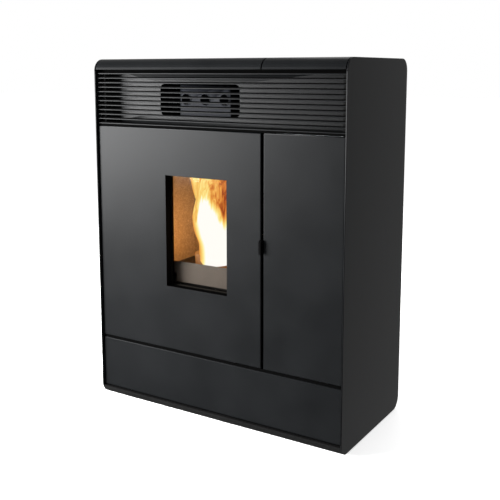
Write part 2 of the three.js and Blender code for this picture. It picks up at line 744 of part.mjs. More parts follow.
function dividerPlate() {
  const bottom = floorZ + coverSheet + touchGap;
  const top = backplateBottom - 2;
  const upperFront = backplateDepth + backplateSheet + 1;
  const flatFront = casingCorner + 2;
  const flatRear = casingDepth - casingCorner - 2;
  const plate = join(block(dividerX0, dividerX1, frameFront, flatRear, lowerPanelBottom + 6, top),
    block(dividerX0, dividerX1, flatFront, flatRear, bottom, lowerPanelBottom + 7));
  const upper = block(dividerX0, dividerX1, upperFront, flatRear, top - 1,
    hopperMouthTop - hopperSheet - touchGap);
  const flange = block(dividerX1 - 0.5, dividerX1 + dividerFlange, frameFront, frameFront + dividerSheet,
    lowerPanelBottom + 6, doorTop);
  const foot = block(dividerX1 - 0.5, dividerX1 + dividerFlange, 60, flatRear, bottom, bottom + dividerSheet);
  const seats = [doorBottom + 60, doorTop - 60].map((level) => panelClip(rightPanelLeft, -1, level));
  const slope = augerTubeRadius / Math.cos(augerRun) + 6;
  const augerHole = rectangle(augerY - augerTubeRadius - 4, augerY + augerTubeRadius + 4,
    augerZAt(dividerX0) - slope, augerZAt(dividerX0) + slope, 10);
  const leverWindow = block(dividerX0 - 1, rightPanelLeft + dividerFlange + 10, frameFront - 10, 60,
    handleCentreZ - 50, handleCentreZ + 40);
  return cut(join(plate, upper, flange, foot, ...seats),
    extrude(augerHole, 'x', dividerX0 - 1, dividerX1 + 1), leverWindow);
}

addPiece(stove, 'divider_plate', dividerPlate(), 'stoveBlack');

// ---------------------------------------------------------------- fire door
const door = pivotGroup(stove, hingeAxisX, hingeAxisY, 0);
const hingeZ = [doorBottom + hingeFromBottom, doorTop - hingeFromTop];

function doorPanel() {
  let panel = foldedPanel(doorLeft, doorRight, doorBottom, doorTop);
  const reveal = cut(
    block(windowLeft - coverSheet, windowRight + coverSheet, panelFace + 1, panelBack,
      windowBottom - coverSheet, windowTop + coverSheet),
    block(windowLeft, windowRight, panelFace, panelBack + 1, windowBottom, windowTop));
  panel = cut(panel, block(windowLeft, windowRight, panelFace - 1, panelFace + 4, windowBottom, windowTop));
  panel = join(panel, reveal);
  for (const z of hingeZ) {
    panel = cut(panel, block(doorLeft - 1, doorLeft + coverSheet + 0.5, panelFace + coverSheet,
      panelBack + 1, z - 22, z + 22));
    const lug = block(doorLeft + coverSheet + 0.6, hingeAxisX + 14, panelFace + coverSheet - 0.5,
      panelBack - 1.5, z + touchGap, z + touchGap + hingePlate);
    panel = join(panel, cut(lug,
      rod('z', hingeAxisX, hingeAxisY, hingePinRadius + touchGap, z, z + 10, 16)));
  }
  const bracketX = leverX0 - touchGap;
  const bracket = block(bracketX - 12, bracketX, panelFace + coverSheet - 0.5, leverPivotY + 12,
    handleCentreZ - 14, handleCentreZ + 14);
  const slimmer = block(bracketX - 20, bracketX - 3, panelBack, leverPivotY + 20,
    handleCentreZ - 20, handleCentreZ + 20);
  const stud = rod('x', leverPivotY, handleCentreZ, 4, bracketX - 2, leverX1 + 1.5, 16);
  return join(panel, cut(bracket, slimmer), stud);
}

addPiece(door, 'door_panel', doorPanel(), 'paintedSteel');

// The inner frame carries the glass in a rebate and the rope seal in a groove.
const frameX0 = fireCentreX - flangeHalf;
const frameX1 = fireCentreX + flangeHalf;
const doorFrameBottom = mouthFloor - 27;
const doorFrameTop = mouthRoof + 27;
const ring = (x0, x1, z0, z1, width, y0, y1, corner = 4) => {
  const outline = rectangle(x0, x1, z0, z1, corner);
  const inside = Math.max(corner - width, 1);
  outline.holes.push(rectangle(x0 + width, x1 - width, z0 + width, z1 - width, inside));
  return extrude(outline, 'y', y0, y1, 1);
};

function doorFrame() {
  const outline = rectangle(frameX0, frameX1, doorFrameBottom, doorFrameTop, 12);
  outline.holes.push(rectangle(windowLeft, windowRight, windowBottom, windowTop));
  let frame = extrude(outline, 'y', doorFrameFront, doorFrameBack, 2);
  const rebate = block(windowLeft - glassMargin, windowRight + glassMargin,
    glassFront - touchGap, doorFrameBack + 1, windowBottom - glassMargin, windowTop + glassMargin);
  const groove = ring(fireCentreX - sealCentreHalf - sealRope / 2 - touchGap,
    fireCentreX + sealCentreHalf + sealRope / 2 + touchGap,
    mouthFloor - 9 - sealRope / 2 - touchGap, mouthRoof + 9 + sealRope / 2 + touchGap,
    sealRope + 2 * touchGap, doorFrameBack - 8, doorFrameBack + 1, 6);
  frame = cut(frame, rebate, groove);
  for (const x of [frameX0 + 22, frameX1 - 22]) {
    for (const z of [doorFrameBottom + 14, doorFrameTop - 14]) {
      frame = join(frame, rod('y', x, z, 7, panelFace + coverSheet + touchGap, doorFrameFront + 1, 10));
    }
  }
  return frame;
}

addPiece(door, 'door_frame', doorFrame(), 'castIron');
const glassSide = glassMargin - touchGap;
addPiece(door, 'door_glass', block(windowLeft - glassSide, windowRight + glassSide, glassFront,
  glassFront + glassThickness, windowBottom - glassSide, windowTop + glassSide), 'glass');
const sealThickness = 2;
const glassSealY = glassFront + glassThickness + touchGap;
addPiece(door, 'glass_seal', ring(windowLeft - glassSide, windowRight + glassSide,
  windowBottom - glassSide, windowTop + glassSide, 10, glassSealY, glassSealY + sealThickness, 2), 'rope');
const retainerY = glassSealY + sealThickness + touchGap;
addPiece(door, 'glass_retainer', ring(windowLeft - glassSide, windowRight + glassSide,
  windowBottom - glassSide, windowTop + glassSide, 12, retainerY, doorFrameBack - 1, 2), 'stoveBlack');
addPiece(door, 'door_rope_seal', ring(fireCentreX - sealCentreHalf - sealRope / 2,
  fireCentreX + sealCentreHalf + sealRope / 2, mouthFloor - 9 - sealRope / 2,
  mouthRoof + 9 + sealRope / 2, sealRope, doorFrameBack - 8 + touchGap, fireFront - touchGap, 6), 'rope');

// ---------------------------------------------------------------- door hinges
// Lift-off hinges: the pin is welded in the fixed bracket and the door's lug sits over it.
function hingeBracket(z) {
  const seat = frameFront - touchGap;
  const knuckle = rod('z', hingeAxisX, hingeAxisY, 4.5, z - hingePlate, z, 16);
  const arm = block(hingeAxisX - 2, hingeAxisX + 4.5, hingeAxisY, seat, z - hingePlate, z);
  const leaf = block(hingeAxisX - 4, hingeAxisX + 9, seat - coverSheet, seat, z - 16, z + 12);
  const pin = rod('z', hingeAxisX, hingeAxisY, hingePinRadius, z - hingePlate - 2, z + hingePlate + 6, 16);
  return join(knuckle, arm, leaf, pin);
}

['lower', 'upper'].forEach((level, i) => {
  addPiece(stove, `door_hinge_bracket_${level}`, hingeBracket(hingeZ[i]), 'steel');
});

// ---------------------------------------------------------------- door handle and latch
// A blade in the gap beside the door: its tab is pressed down, which lifts the nose off the keeper.
const handle = pivotGroup(door, leverX0, leverPivotY, handleCentreZ);
const noseY = leverPivotY + 26;

function doorHandle() {
  const z = handleCentreZ;
  const jogY0 = panelBack + 2;
  const jogY1 = jogY0 + 6;
  const tabX0 = doorRight + 0.8;
  const tabX1 = rightPanelLeft - 1.1;
  const lever = extrude(polygon([[jogY0, z - 8], [jogY1 + 8, z - 9], [leverPivotY, z - 11],
    [noseY - 6, z - 7], [noseY - 4, z - 14], [noseY + 4, z - 14], [noseY + 6, z - 5], [noseY + 2, z + 6],
    [leverPivotY, z + 11], [jogY1 + 8, z + 9], [jogY0, z + 8]]), 'x', leverX0, leverX1);
  const jog = block(leverX1 - 1, tabX1, jogY0, jogY1, z - 8, z + 8);
  const tabFront = -handleProud;
  const half = handleTabHeight / 2;
  const tab = extrude(polygon([[tabFront, z - half], [panelFace + 6, z - half], [jogY0 + 1, z - 8],
    [jogY1, z - 8], [jogY1, z + 8], [jogY0 + 1, z + 8], [panelFace + 6, z + half],
    [tabFront + 5, z + half], [tabFront, z + half - 7]]), 'x', tabX0, tabX1);
  const bore = rod('x', leverPivotY, z, 4 + touchGap, leverX0 - 1, leverX1 + 1, 16);
  return cut(join(lever, jog, tab), bore);
}

addPiece(handle, 'door_handle', doorHandle(), 'stoveBlack');

// The keeper's tongue stands on the divider plate, just below the lever's nose.
function latchKeeper() {
  const tongueTop = handleCentreZ - 14 - 0.4;
  const plateX1 = dividerX0 - touchGap;
  const plate = block(plateX1 - 2, plateX1, 66, 112, tongueTop - 34, tongueTop + 30);
  const tongue = extrude(polygon([[noseY - 9, tongueTop - 4], [noseY - 5, tongueTop], [noseY + 8, tongueTop],
    [noseY + 8, tongueTop - 10], [noseY - 9, tongueTop - 10]]), 'x', leverX0 + 0.5, plateX1 - 1);
  return join(plate, tongue);
}

addPiece(stove, 'latch_keeper', latchKeeper(), 'steel');

// ---------------------------------------------------------------- firebox
const smokeDuct = {
  x0: ductX, x1: ductX + ductWidth, y0: ductY, y1: ductY + ductDepth, z0: smokeFanZ - 55, z1: fireRoof - 10,
};
const smokePort = { z0: smokeDuct.z1 - 72, z1: smokeDuct.z1 - 14 };
const chuteY0 = augerY - chuteHalf;
const chuteY1 = augerY + chuteHalf;
const chuteWindow = {
  z0: chuteFloorAt(shellX1 - fireSteel) - chutePlay, z1: chuteFloorAt(shellX1) + chuteDrop + chutePlay,
};
const igniterZ = hearthHeight + 22;
const igniterRadius = 6;

function fireboxBody() {
  const shell = cut(
    block(shellX0, shellX1, fireFront, shellRear, fireFloor, fireRoof),
    block(shellX0 + fireSteel, shellX1 - fireSteel, fireFront - 1, shellRear - fireSteel,
      fireFloor + fireSteel, fireRoof - fireSteel));
  const flange = cut(
    block(frameX0, frameX1, fireFront, fireFront + fireSteel, doorFrameBottom, doorFrameTop),
    block(fireCentreX - fireHalf, fireCentreX + fireHalf, fireFront - 1, fireFront + 10,
      mouthFloor, mouthRoof));
  let body = join(shell, flange);
  body = cut(body, block(fireCentreX - chamberHalf + fireSteel, fireCentreX + chamberHalf - fireSteel,
    chamberFront + fireSteel, shellRear - 2 * fireSteel, fireRoof - 12, fireRoof + 2));
  const ledge = hearthHeight - hearthThickness - touchGap;
  const reach = fireHalf - 8;
  for (const [x0, x1] of [[shellX0 + 2, fireCentreX - reach], [fireCentreX + reach, shellX1 - 2]]) {
    body = join(body, block(x0, x1, fireInnerFront + 4, shellRear - 2, ledge - 4, ledge));
  }
  return cut(body,
    rod('y', intakePlace.x, intakePlace.z, intakeRadius + touchGap, shellRear - 10, shellRear + 5, pipeSides),
    rod('y', fireCentreX, igniterZ, igniterRadius + touchGap, shellRear - 10, shellRear + 5, 12),
    block(smokeDuct.x0 + 6, smokeDuct.x1 - 6, shellRear - 10, shellRear + 5, smokePort.z0, smokePort.z1),
    block(shellX1 - 10, shellX1 + 5, chuteY0 - touchGap, chuteY1 + touchGap, chuteWindow.z0, chuteWindow.z1));
}

addPiece(stove, 'firebox_body', fireboxBody(), 'stoveBlack');

// The firebox stands on four angle legs welded to a flat frame under its floor.
function fireboxStand() {
  const angle = standAngle;
  const plate = standSheet;
  const front = fireFront + standFromFront;
  const rear = front + standDepth;
  const top = fireFloor - touchGap;
  let stand = cut(block(shellX0, shellX1, front, rear, top - plate, top),
    block(shellX0 + angle, shellX1 - angle, front + angle, rear - angle, top - plate - 1, top + 1));
  for (const x of [shellX0, shellX1 - angle]) {
    const inner = x === shellX0 ? x + plate : x - 1;
    for (const y of [front, rear - angle]) {
      const inside = y === front ? y + plate : y - 1;
      stand = join(stand, cut(block(x, x + angle, y, y + angle, floorZ + coverSheet + touchGap, top - 1),
        block(inner, inner + angle - plate + 1, inside, inside + angle - plate + 1,
          floorZ + coverSheet + 3, top - plate)));
    }
  }
  return stand;
}

addPiece(stove, 'firebox_stand', fireboxStand(), 'stoveBlack');

// The heat exchanger is one weldment, bolted to the firebox roof by its flange: an open-bottomed
// smoke box with three air tubes through it from back to front.
function heatExchanger() {
  const bottom = fireRoof + touchGap;
  const x0 = fireCentreX - chamberHalf;
  const x1 = fireCentreX + chamberHalf;
  const rear = shellRear - fireSteel;
  const box = cut(block(x0, x1, chamberFront, rear, bottom, chamberTop),
    block(x0 + fireSteel, x1 - fireSteel, chamberFront + fireSteel, rear - fireSteel,
      bottom - 1, chamberTop - fireSteel));
  const flange = cut(block(x0 - chamberFlange, x1 + chamberFlange, chamberFront - chamberFlange, rear,
    bottom, bottom + fireSteel), block(x0 + 1, x1 - 1, chamberFront + 1, rear - 1, bottom - 1, bottom + 10));
  let exchanger = join(box, flange);
  for (const i of [-1, 0, 1]) {
    const x = fireCentreX + i * tubeSpacing;
    const [front, back] = [chamberFront - 2, plenumFront + 4];
    exchanger = cut(join(exchanger, rod('y', x, tubeHeight, tubeRadius, front, back, tubeSides)),
      rod('y', x, tubeHeight, tubeRadius - tubeWall, front - 1, back + 1, tubeSides));
  }
  return exchanger;
}

addPiece(stove, 'heat_exchanger', heatExchanger(), 'stoveBlack');

// Fire-brick linings stand on the hearth plate.
const linerBottom = hearthHeight + touchGap;
const linerTop = fireRoof - linerUnderRoof;
const linerX0 = fireCentreX - fireHalf;
const linerX1 = fireCentreX + fireHalf;
const linerY0 = fireInnerFront + 12;

function sideLiner(x0, x1) {
  const face = rectangle(linerY0, shellRear - fireSteel - touchGap, linerBottom, linerTop, 3);
  return extrude(face, 'x', x0, x1, 2);
}

addPiece(stove, 'liner_left', sideLiner(linerX0 - linerThickness, linerX0), 'vermiculite');
addPiece(stove, 'liner_right', cut(sideLiner(linerX1, linerX1 + linerThickness),
  block(linerX1 - 5, linerX1 + linerThickness + 5, chuteY0 - touchGap, chuteY1 + touchGap,
    chuteFloorAt(linerX1) - chutePlay, chuteWindow.z1)), 'vermiculite');

function backLiner() {
  const grooves = 9;
  const step = fireWidth / (grooves + 1);
  let slab = block(linerX0 + touchGap, linerX1 - touchGap, linerFace, linerFace + linerThickness,
    linerBottom, linerTop);
  for (let i = 1; i <= grooves; i += 1) {
    const x = linerX0 + i * step;
    slab = cut(slab, extrude(polygon([[x - 4, linerFace - 1], [x + 4, linerFace - 1], [x, linerFace + 5]]),
      'z', linerBottom + 20, linerTop - 20));
  }
  return cut(slab, rod('y', fireCentreX, igniterZ, igniterRadius + touchGap,
    linerFace - 5, linerFace + linerThickness + 5, 12));
}

addPiece(stove, 'liner_back', backLiner(), 'vermiculite');

// The baffle lies on the linings and turns the smoke forward before it rises to the tubes.
function bafflePlate() {
  const plate = block(linerX0 - linerThickness + 2, linerX1 + linerThickness - 2, linerY0 + 34, linerFace + 8,
    linerTop + touchGap, linerTop + touchGap + 8);
  const front = block(linerX0 + 10, linerX1 - 10, linerY0 + 30, linerY0 + 36,
    linerTop - 14, linerTop + touchGap + 8);
  return join(plate, front);
}

addPiece(stove, 'baffle_plate', bafflePlate(), 'vermiculite');

function hearthPlate() {
  const bottom = hearthHeight - hearthThickness;
  const plate = block(linerX0 - linerThickness + touchGap, linerX1 + linerThickness - touchGap,
    fireInnerFront + touchGap, shellRear - fireSteel - touchGap, bottom, hearthHeight);
  const lip = block(linerX0 + 1, linerX1 - 1, fireInnerFront + touchGap, fireInnerFront + 5,
    bottom, hearthHeight + hearthLip);
  return cut(join(plate, lip),
    rod('z', fireCentreX, potCentreY, potRadius - 4, bottom - 1, hearthHeight + 1, 24));
}

addPiece(stove, 'hearth_plate', hearthPlate(), 'castIron');

// Burn pot: a tapered cup with air holes, hung by its collar in the hearth plate.
const potBottom = potTop - potDepth;

function burnPot() {
  const low = potRadius - 9;
  const collar = potDepth - potProud + touchGap;
  let pot = revolve([[0, 0], [low, 0], [potRadius - 5, collar - touchGap], [potRadius - 5, collar],
    [potRadius + 5, collar], [potRadius + 5, collar + 5], [potRadius - 1, collar + 6],
    [potRadius + 2, potDepth],
    [potRadius + 2 - potWall, potDepth], [low - potWall + 2, potWall], [0, potWall]], 16);
  for (let i = 0; i < 7; i += 1) {
    const a = i * Math.PI / 3;
    const reach = i === 6 ? 0 : 21;
    pot = cut(pot, rod('z', reach * Math.cos(a), reach * Math.sin(a), 3.2, -1, potWall + 1, 6));
  }
  for (let i = 0; i < 8; i += 1) {
    const bore = new THREE.CylinderGeometry(2.6, 2.6, 30, 6);
    bore.rotateX(Math.PI / 2);
    bore.translate(0, potRadius, 0);
    bore.rotateZ((i + 0.5) * Math.PI / 4);
    bore.translate(0, 0, potDepth - 26);
    pot = cut(pot, solid(bore));
  }
  return pot;
}

addPiece(stove, 'burn_pot', burnPot(), 'castIron', [fireCentreX, potCentreY, potBottom]);

// Ash pan: an open folded tray with a pull lip, standing on the firebox floor.
function ashPan() {
  const x0 = linerX0 + 6;
  const x1 = linerX1 - 6;
  const y0 = fireInnerFront + 8;
  const y1 = shellRear - fireSteel - 12;
  const z0 = fireFloor + fireSteel + touchGap;
  const z1 = hearthHeight - hearthThickness - 16;
  const tray = cut(block(x0, x1, y0, y1, z0, z1),
    block(x0 + 1.5, x1 - 1.5, y0 + 1.5, y1 - 1.5, z0 + 1.5, z1 + 1));
  const pull = block(fireCentreX - 45, fireCentreX + 45, y0 - 6, y0 + 1, z1 - 18, z1 - 15);
  return join(tray, pull);
}

addPiece(stove, 'ash_pan', ashPan(), 'galvanised');

function igniterRod() {
  const tip = potCentreY + potRadius + 8;
  const rear = shellRear + 14;
  return join(rod('y', fireCentreX, igniterZ, igniterRadius, tip, rear, 12),
    rod('y', fireCentreX, igniterZ, igniterRadius + 8, shellRear + touchGap, shellRear + 4, 12));
}

addPiece(stove, 'igniter', igniterRod(), 'steel');

// ---------------------------------------------------------------- air plenum
const plenumX0 = fireCentreX - chamberHalf;
const plenumX1 = fireCentreX + chamberHalf;
const fanTop = drumZ + 78;

function airPlenum() {
  const bottom = fanTop + touchGap;
  let duct = cut(block(plenumX0, plenumX1, plenumFront, plenumRear, bottom, chamberTop),
    block(plenumX0 + ductSheet, plenumX1 - ductSheet, plenumFront + ductSheet, plenumRear - ductSheet,
      bottom - 1, chamberTop - ductSheet));
  for (const i of [-1, 0, 1]) {
    duct = cut(duct, rod('y', fireCentreX + i * tubeSpacing, tubeHeight, tubeRadius + touchGap,
      plenumFront - 5, plenumFront + 6, tubeSides));
  }
  return duct;
}

addPiece(stove, 'air_plenum', airPlenum(), 'galvanised');

// ---------------------------------------------------------------- room-air fan
const drumY = (plenumFront + plenumRear) / 2;
const drumX0 = fireCentreX - drumLength / 2;
const drumX1 = fireCentreX + drumLength / 2;
const drumShaft = 4;
const shaftSides = 12;

function roomFanHousing() {
  const bottom = floorZ + coverSheet + touchGap;
  const shell = cut(block(plenumX0, plenumX1, plenumFront, plenumRear, bottom, fanTop),
    block(plenumX0 + ductSheet, plenumX1 - ductSheet, plenumFront + ductSheet, plenumRear - ductSheet,
      bottom - 1, fanTop + 1),
    block(plenumX0 + 14, plenumX1 - 14, plenumRear - 5, plenumRear + 5, bottom + 14, drumZ - 6),
    block(plenumX0 - 1, plenumX1 + 1, casingDepth - casingCorner - 2, plenumRear + 5,
      bottom - 1, bottom + 16));
  const scroll = new THREE.Shape();
  const inner = drumRadius + 6;
  scroll.absarc(drumY, drumZ, inner + ductSheet, Math.PI * 0.5, Math.PI * 1.25, false);
  scroll.absarc(drumY, drumZ, inner, Math.PI * 1.25, Math.PI * 0.5, true);
  scroll.closePath();
  const guide = extrude(scroll, 'x', plenumX0 + 1, plenumX1 - 1, 12);
  const tie = block(plenumX0 + 1, plenumX1 - 1, plenumFront + 1, drumY - inner + 1, drumZ - 1, drumZ + 1);
  const tongue = block(plenumX0 + 1, plenumX1 - 1, drumY + drumRadius + 5, plenumRear - 1,
    drumZ - 1, drumZ + 1);
  return cut(join(shell, guide, tie, tongue),
    rod('x', drumY, drumZ, drumShaft + touchGap, plenumX0 - 5, plenumX0 + 5, shaftSides),
    rod('x', drumY, drumZ, drumShaft + touchGap, plenumX1 - 5, plenumX1 + 5, shaftSides));
}

addPiece(stove, 'room_fan_housing', roomFanHousing(), 'galvanised');

// Cross-flow drum: forward-curved blades between two end discs.
const drum = pivotGroup(stove, fireCentreX, drumY, drumZ);

function fanDrum() {
  const disc = 2;
  let wheel = join(rod('x', drumY, drumZ, drumRadius, drumX0, drumX0 + disc, 20),
    rod('x', drumY, drumZ, drumRadius, drumX1 - disc, drumX1, 20),
    rod('x', drumY, drumZ, drumShaft, plenumX0 - 18, drumX0 + 1, shaftSides),
    rod('x', drumY, drumZ, drumShaft, drumX1 - 1, plenumX1 + 3, shaftSides));
  for (let i = 0; i < drumBlades; i += 1) {
    const turn = i * Math.PI * 2 / drumBlades;
    const at = (radius, angle) => [drumY + radius * Math.cos(turn + angle),
      drumZ + radius * Math.sin(turn + angle)];
    const section = polygon([at(drumRadius - 9, 0), at(drumRadius - 0.8, 0.12), at(drumRadius - 0.8, 0.17),
      at(drumRadius - 5, 0.08), at(drumRadius - 9, 0.05)]);
    wheel = join(wheel, extrude(section, 'x', drumX0 + 1, drumX1 - 1));
  }
  return wheel;
}

addPiece(drum, 'room_fan_drum', fanDrum(), 'galvanised');

const motorBody = (x0, x1, y, z, radius) => join(
  rod('x', y, z, radius, x0, x1, 14),
  rod('x', y, z, radius + 3, x0 + (x1 - x0) * 0.35, x0 + (x1 - x0) * 0.75, 14));

function roomFanMotor() {
  const x1 = plenumX0 - touchGap;
  const x0 = x1 - 62;
  return cut(motorBody(x0, x1, drumY, drumZ, 28),
    rod('x', drumY, drumZ, drumShaft + touchGap, x1 - 20, x1 + 1, shaftSides));
}

addPiece(stove, 'room_fan_motor', roomFanMotor(), 'stoveBlack');

// ---------------------------------------------------------------- smoke duct and extractor
const inletRadius = 28;

function smokeDuctBody() {
  const { x0, x1, y0, y1, z0, z1 } = smokeDuct;
  const duct = cut(block(x0, x1, y0, y1, z0, z1),
    block(x0 + ductSheet, x1 - ductSheet, y0 + ductSheet, y1 - ductSheet, z0 + ductSheet, z1 - ductSheet));
  return cut(duct,
    block(x0 + 6, x1 - 6, y0 - 5, y0 + 5, smokePort.z0, smokePort.z1),
    rod('x', smokeFanY, smokeFanZ, inletRadius, x1 - 5, x1 + 5, 24));
}

addPiece(stove, 'smoke_duct', smokeDuctBody(), 'galvanised');

// Scroll housing: its radius grows with the turn and leads out to the rear at the top.
const flueDuctHalf = 33;
const outletRear = smokeFanY + smokeFanRadius + 10;

function smokeFanHousing() {
  const turns = 12;
  const scroll = (grow) => {
    const points = [];
    for (let i = 0; i <= turns; i += 1) {
      const a = Math.PI / 2 + i * Math.PI * 1.5 / turns;
      const r = smokeFanRadius + 7 + 9 * (1 - i / turns) + grow;
      points.push([smokeFanY + r * Math.cos(a), smokeFanZ + r * Math.sin(a)]);
    }
    const round = rod('x', smokeFanY, smokeFanZ, smokeFanRadius + 5 + grow,
      fanX0 + 2 - grow, fanX1 - 2 + grow, 20);
    return join(extrude(polygon(points), 'x', fanX0 + 2 - grow, fanX1 - 2 + grow), round);
  };
  const outlet = (grow, y1) => block(fanX0 + 2 - grow, fanX1 - 2 + grow, smokeFanY, y1,
    fluePlace.z - flueDuctHalf - grow, fluePlace.z + flueDuctHalf + grow);
  const outer = join(scroll(2), outlet(2, outletRear));
  const inner = join(scroll(0), outlet(0, outletRear + 4));
  const foot = block(fanX0 + 6, fanX1 - 6, smokeFanY - 26, smokeFanY + 26, floorZ + coverSheet + touchGap,
    smokeFanZ - smokeFanRadius - 8);
  return cut(join(outer, foot), inner,
    rod('x', smokeFanY, smokeFanZ, inletRadius, fanX0 - 5, fanX0 + 5, 24),
    rod('x', smokeFanY, smokeFanZ, drumShaft + touchGap, fanX1 - 5, fanX1 + 5, shaftSides));
}

addPiece(stove, 'smoke_fan_housing', smokeFanHousing(), 'galvanised');

const impeller = pivotGroup(stove, fanX1 - 8, smokeFanY, smokeFanZ);

function smokeImpeller() {
  const back = fanX1 - 8;
  let wheel = join(rod('x', smokeFanY, smokeFanZ, smokeFanRadius, back, back + 2.5, 24),
    rod('x', smokeFanY, smokeFanZ, 12, back - 16, back + 1, 12),
    rod('x', smokeFanY, smokeFanZ, drumShaft, back, fanX1 + 18, shaftSides));
  const blades = 10;
  for (let i = 0; i < blades; i += 1) {
    const turn = i * Math.PI * 2 / blades;
    const at = (radius, angle) => [smokeFanY + radius * Math.cos(turn + angle),
      smokeFanZ + radius * Math.sin(turn + angle)];
    const section = polygon([at(30, 0), at(smokeFanRadius - 20, 0.12), at(smokeFanRadius - 1, 0.36),
      at(smokeFanRadius - 1, 0.4), at(smokeFanRadius - 20, 0.17), at(30, 0.08)]);
    wheel = join(wheel, extrude(section, 'x', back - 30, back + 1));
  }
  return wheel;
}

addPiece(impeller, 'smoke_impeller', smokeImpeller(), 'steel');

function smokeFanMotor() {
  const x0 = fanX1 + touchGap;
  return cut(motorBody(x0, x0 + 52, smokeFanY, smokeFanZ, 30),
    rod('x', smokeFanY, smokeFanZ, drumShaft + touchGap, x0 - 1, x0 + 20, shaftSides));
}

addPiece(stove, 'smoke_fan_motor', smokeFanMotor(), 'stoveBlack');

// The flue spigot leaves through the back panel; a rolled bead stops the pipe that slides on.
function flueSpigot() {
  const flangeY = outletRear + touchGap;
  const half = flueRadius + 2;
  const end = casingDepth + rearProud;
  const bead = pipe('y', fluePlace.x, fluePlace.z, flueRadius, flueWall, flangeY, end, pipeSides);
  const flange = cut(block(fluePlace.x - half, fluePlace.x + half, flangeY, flangeY + 3,
    fluePlace.z - half, fluePlace.z + half),
  rod('y', fluePlace.x, fluePlace.z, flueRadius - flueWall, flangeY - 5, flangeY + 8, pipeSides));
  return join(bead, flange);
}

addPiece(stove, 'flue_spigot', flueSpigot(), 'steel');

const intake = pipe('y', intakePlace.x, intakePlace.z, intakeRadius, flueWall,
  shellRear - fireSteel + 1, casingDepth + intakeProud, pipeSides);
addPiece(stove, 'air_intake_pipe', intake, 'galvanised');

// ---------------------------------------------------------------- hopper
const hopperX0 = dividerX1 + 4;
const hopperX1 = fitHalf - frameTube - touchGap;
const hopperY0 = backplateDepth + backplateSheet + 3;
const hopperY1 = casingDepth - hopperFromRear;
const neckX1 = augerFootX - neckFromFoot;
const neckX0 = neckX1 - neckWidth;
const neckTop = augerFootZ + neckRise;
const hopperWaist = neckTop + funnelHeight;
const neckBottom = augerFootZ + neckDip;
const gridHeight = hopperMouthTop - gridUnderMouth;

// A straight-sided frustum between two rectangles, as a loft of eight corners.
function frustum(low, high, z0, z1) {
  const corners = [];
  for (const [box, z] of [[low, z0], [high, z1]]) {
    corners.push([box.x0, box.y0, z], [box.x1, box.y0, z], [box.x1, box.y1, z], [box.x0, box.y1, z]);
  }
  const faces = [[0, 3, 2, 1], [4, 5, 6, 7], [0, 1, 5, 4], [1, 2, 6, 5], [2, 3, 7, 6], [3, 0, 4, 7]];
  const geometry = new THREE.BufferGeometry();
  geometry.setAttribute('position', new THREE.Float32BufferAttribute(corners.flat(), 3));
  geometry.setIndex(faces.flatMap(([a, b, c, d]) => [a, b, c, a, c, d]));
  return solid(geometry);
}

const augerQuaternion = new THREE.Quaternion().setFromUnitVectors(new THREE.Vector3(0, 0, 1), augerDirection);

// Draws a solid of the auger upright at the origin, then lays it along the auger's axis.
function alongAuger(geometry) {
  geometry.applyQuaternion(augerQuaternion);
  geometry.translate(augerFootX, augerY, augerFootZ);
  return solid(geometry);
}

function augerCylinder(radius, from, to, sides = 16) {
  const cylinder = new THREE.CylinderGeometry(radius, radius, to - from, sides);
  cylinder.rotateX(Math.PI / 2);
  cylinder.translate(0, 0, (from + to) / 2);
  return alongAuger(cylinder);
}

// Everything on the lower side of the auger's axis.
function underAuger() {
  const reach = 4 * augerTubeRadius;
  const half = new THREE.BoxGeometry(reach, reach, 2 * augerLength);
  half.translate(-reach / 2, 0, augerLength / 2);
  return alongAuger(half);
}

const inset = (box, t) => ({ x0: box.x0 + t, x1: box.x1 - t, y0: box.y0 + t, y1: box.y1 - t });
const tower = ({ x0, x1, y0, y1 }, z0, z1) => block(x0, x1, y0, y1, z0, z1);
const mouth = { x0: hopperX0, x1: hopperX1, y0: hopperY0, y1: hopperY1 };
const augerSpace = augerCylinder(augerTubeRadius + touchGap, -augerLength / 4, augerLength);

// Where the bin stands on the funnel, both have a flange along the rear edge, bolted together.
const hopperFlange = 12;
const hopperSeam = (z0, z1) => block(mouth.x0 + hopperFlange, mouth.x1 - hopperFlange,
  mouth.y1 - 1, mouth.y1 + hopperFlange, z0, z1);

// The bin: four folded walls, a rim that hangs over the top edge of the divider, and two ledges.
function hopperBin() {
  const wall = hopperSheet;
  const hollow = inset(mouth, wall);
  const rim = block(dividerX0 - 6, mouth.x1, mouth.y0, mouth.y1 + 10, hopperMouthTop - wall, hopperMouthTop);
  const ledge = 8;
  const ledgeAt = (y0) => block(hollow.x0 + 30, hollow.x1 - 30, y0, y0 + ledge + 0.5,
    gridHeight - 2, gridHeight);
  const seam = hopperSeam(hopperWaist, hopperWaist + wall);
  const shell = cut(join(tower(mouth, hopperWaist, hopperMouthTop), rim, seam),
    tower(hollow, hopperWaist - 1, hopperMouthTop + 5));
  return cut(join(shell, ledgeAt(hollow.y0 - 0.5), ledgeAt(hollow.y1 - ledge)), augerSpace);
}

addPiece(stove, 'hopper', hopperBin(), 'galvanised');

// The funnel under it ends in a spout that saddles the auger tube.
function hopperFunnel() {
  const wall = hopperSheet;
  const top = hopperWaist - touchGap;
  const neck = { x0: neckX0, x1: neckX1, y0: augerY - neckHalf, y1: augerY + neckHalf };
  const hollowMouth = inset(mouth, wall);
  const hollowNeck = inset(neck, wall);
  const outside = join(frustum(neck, mouth, neckTop, top), tower(neck, neckBottom, neckTop + 0.5),
    hopperSeam(top - wall, top));
  const inside = join(frustum(hollowNeck, hollowMouth, neckTop, top),
    tower(hollowNeck, neckBottom - 5, neckTop + 0.5), tower(hollowMouth, top - 0.01, top + 5));
  return cut(outside, inside, augerSpace, underAuger());
}

addPiece(stove, 'hopper_funnel', hopperFunnel(), 'galvanised');

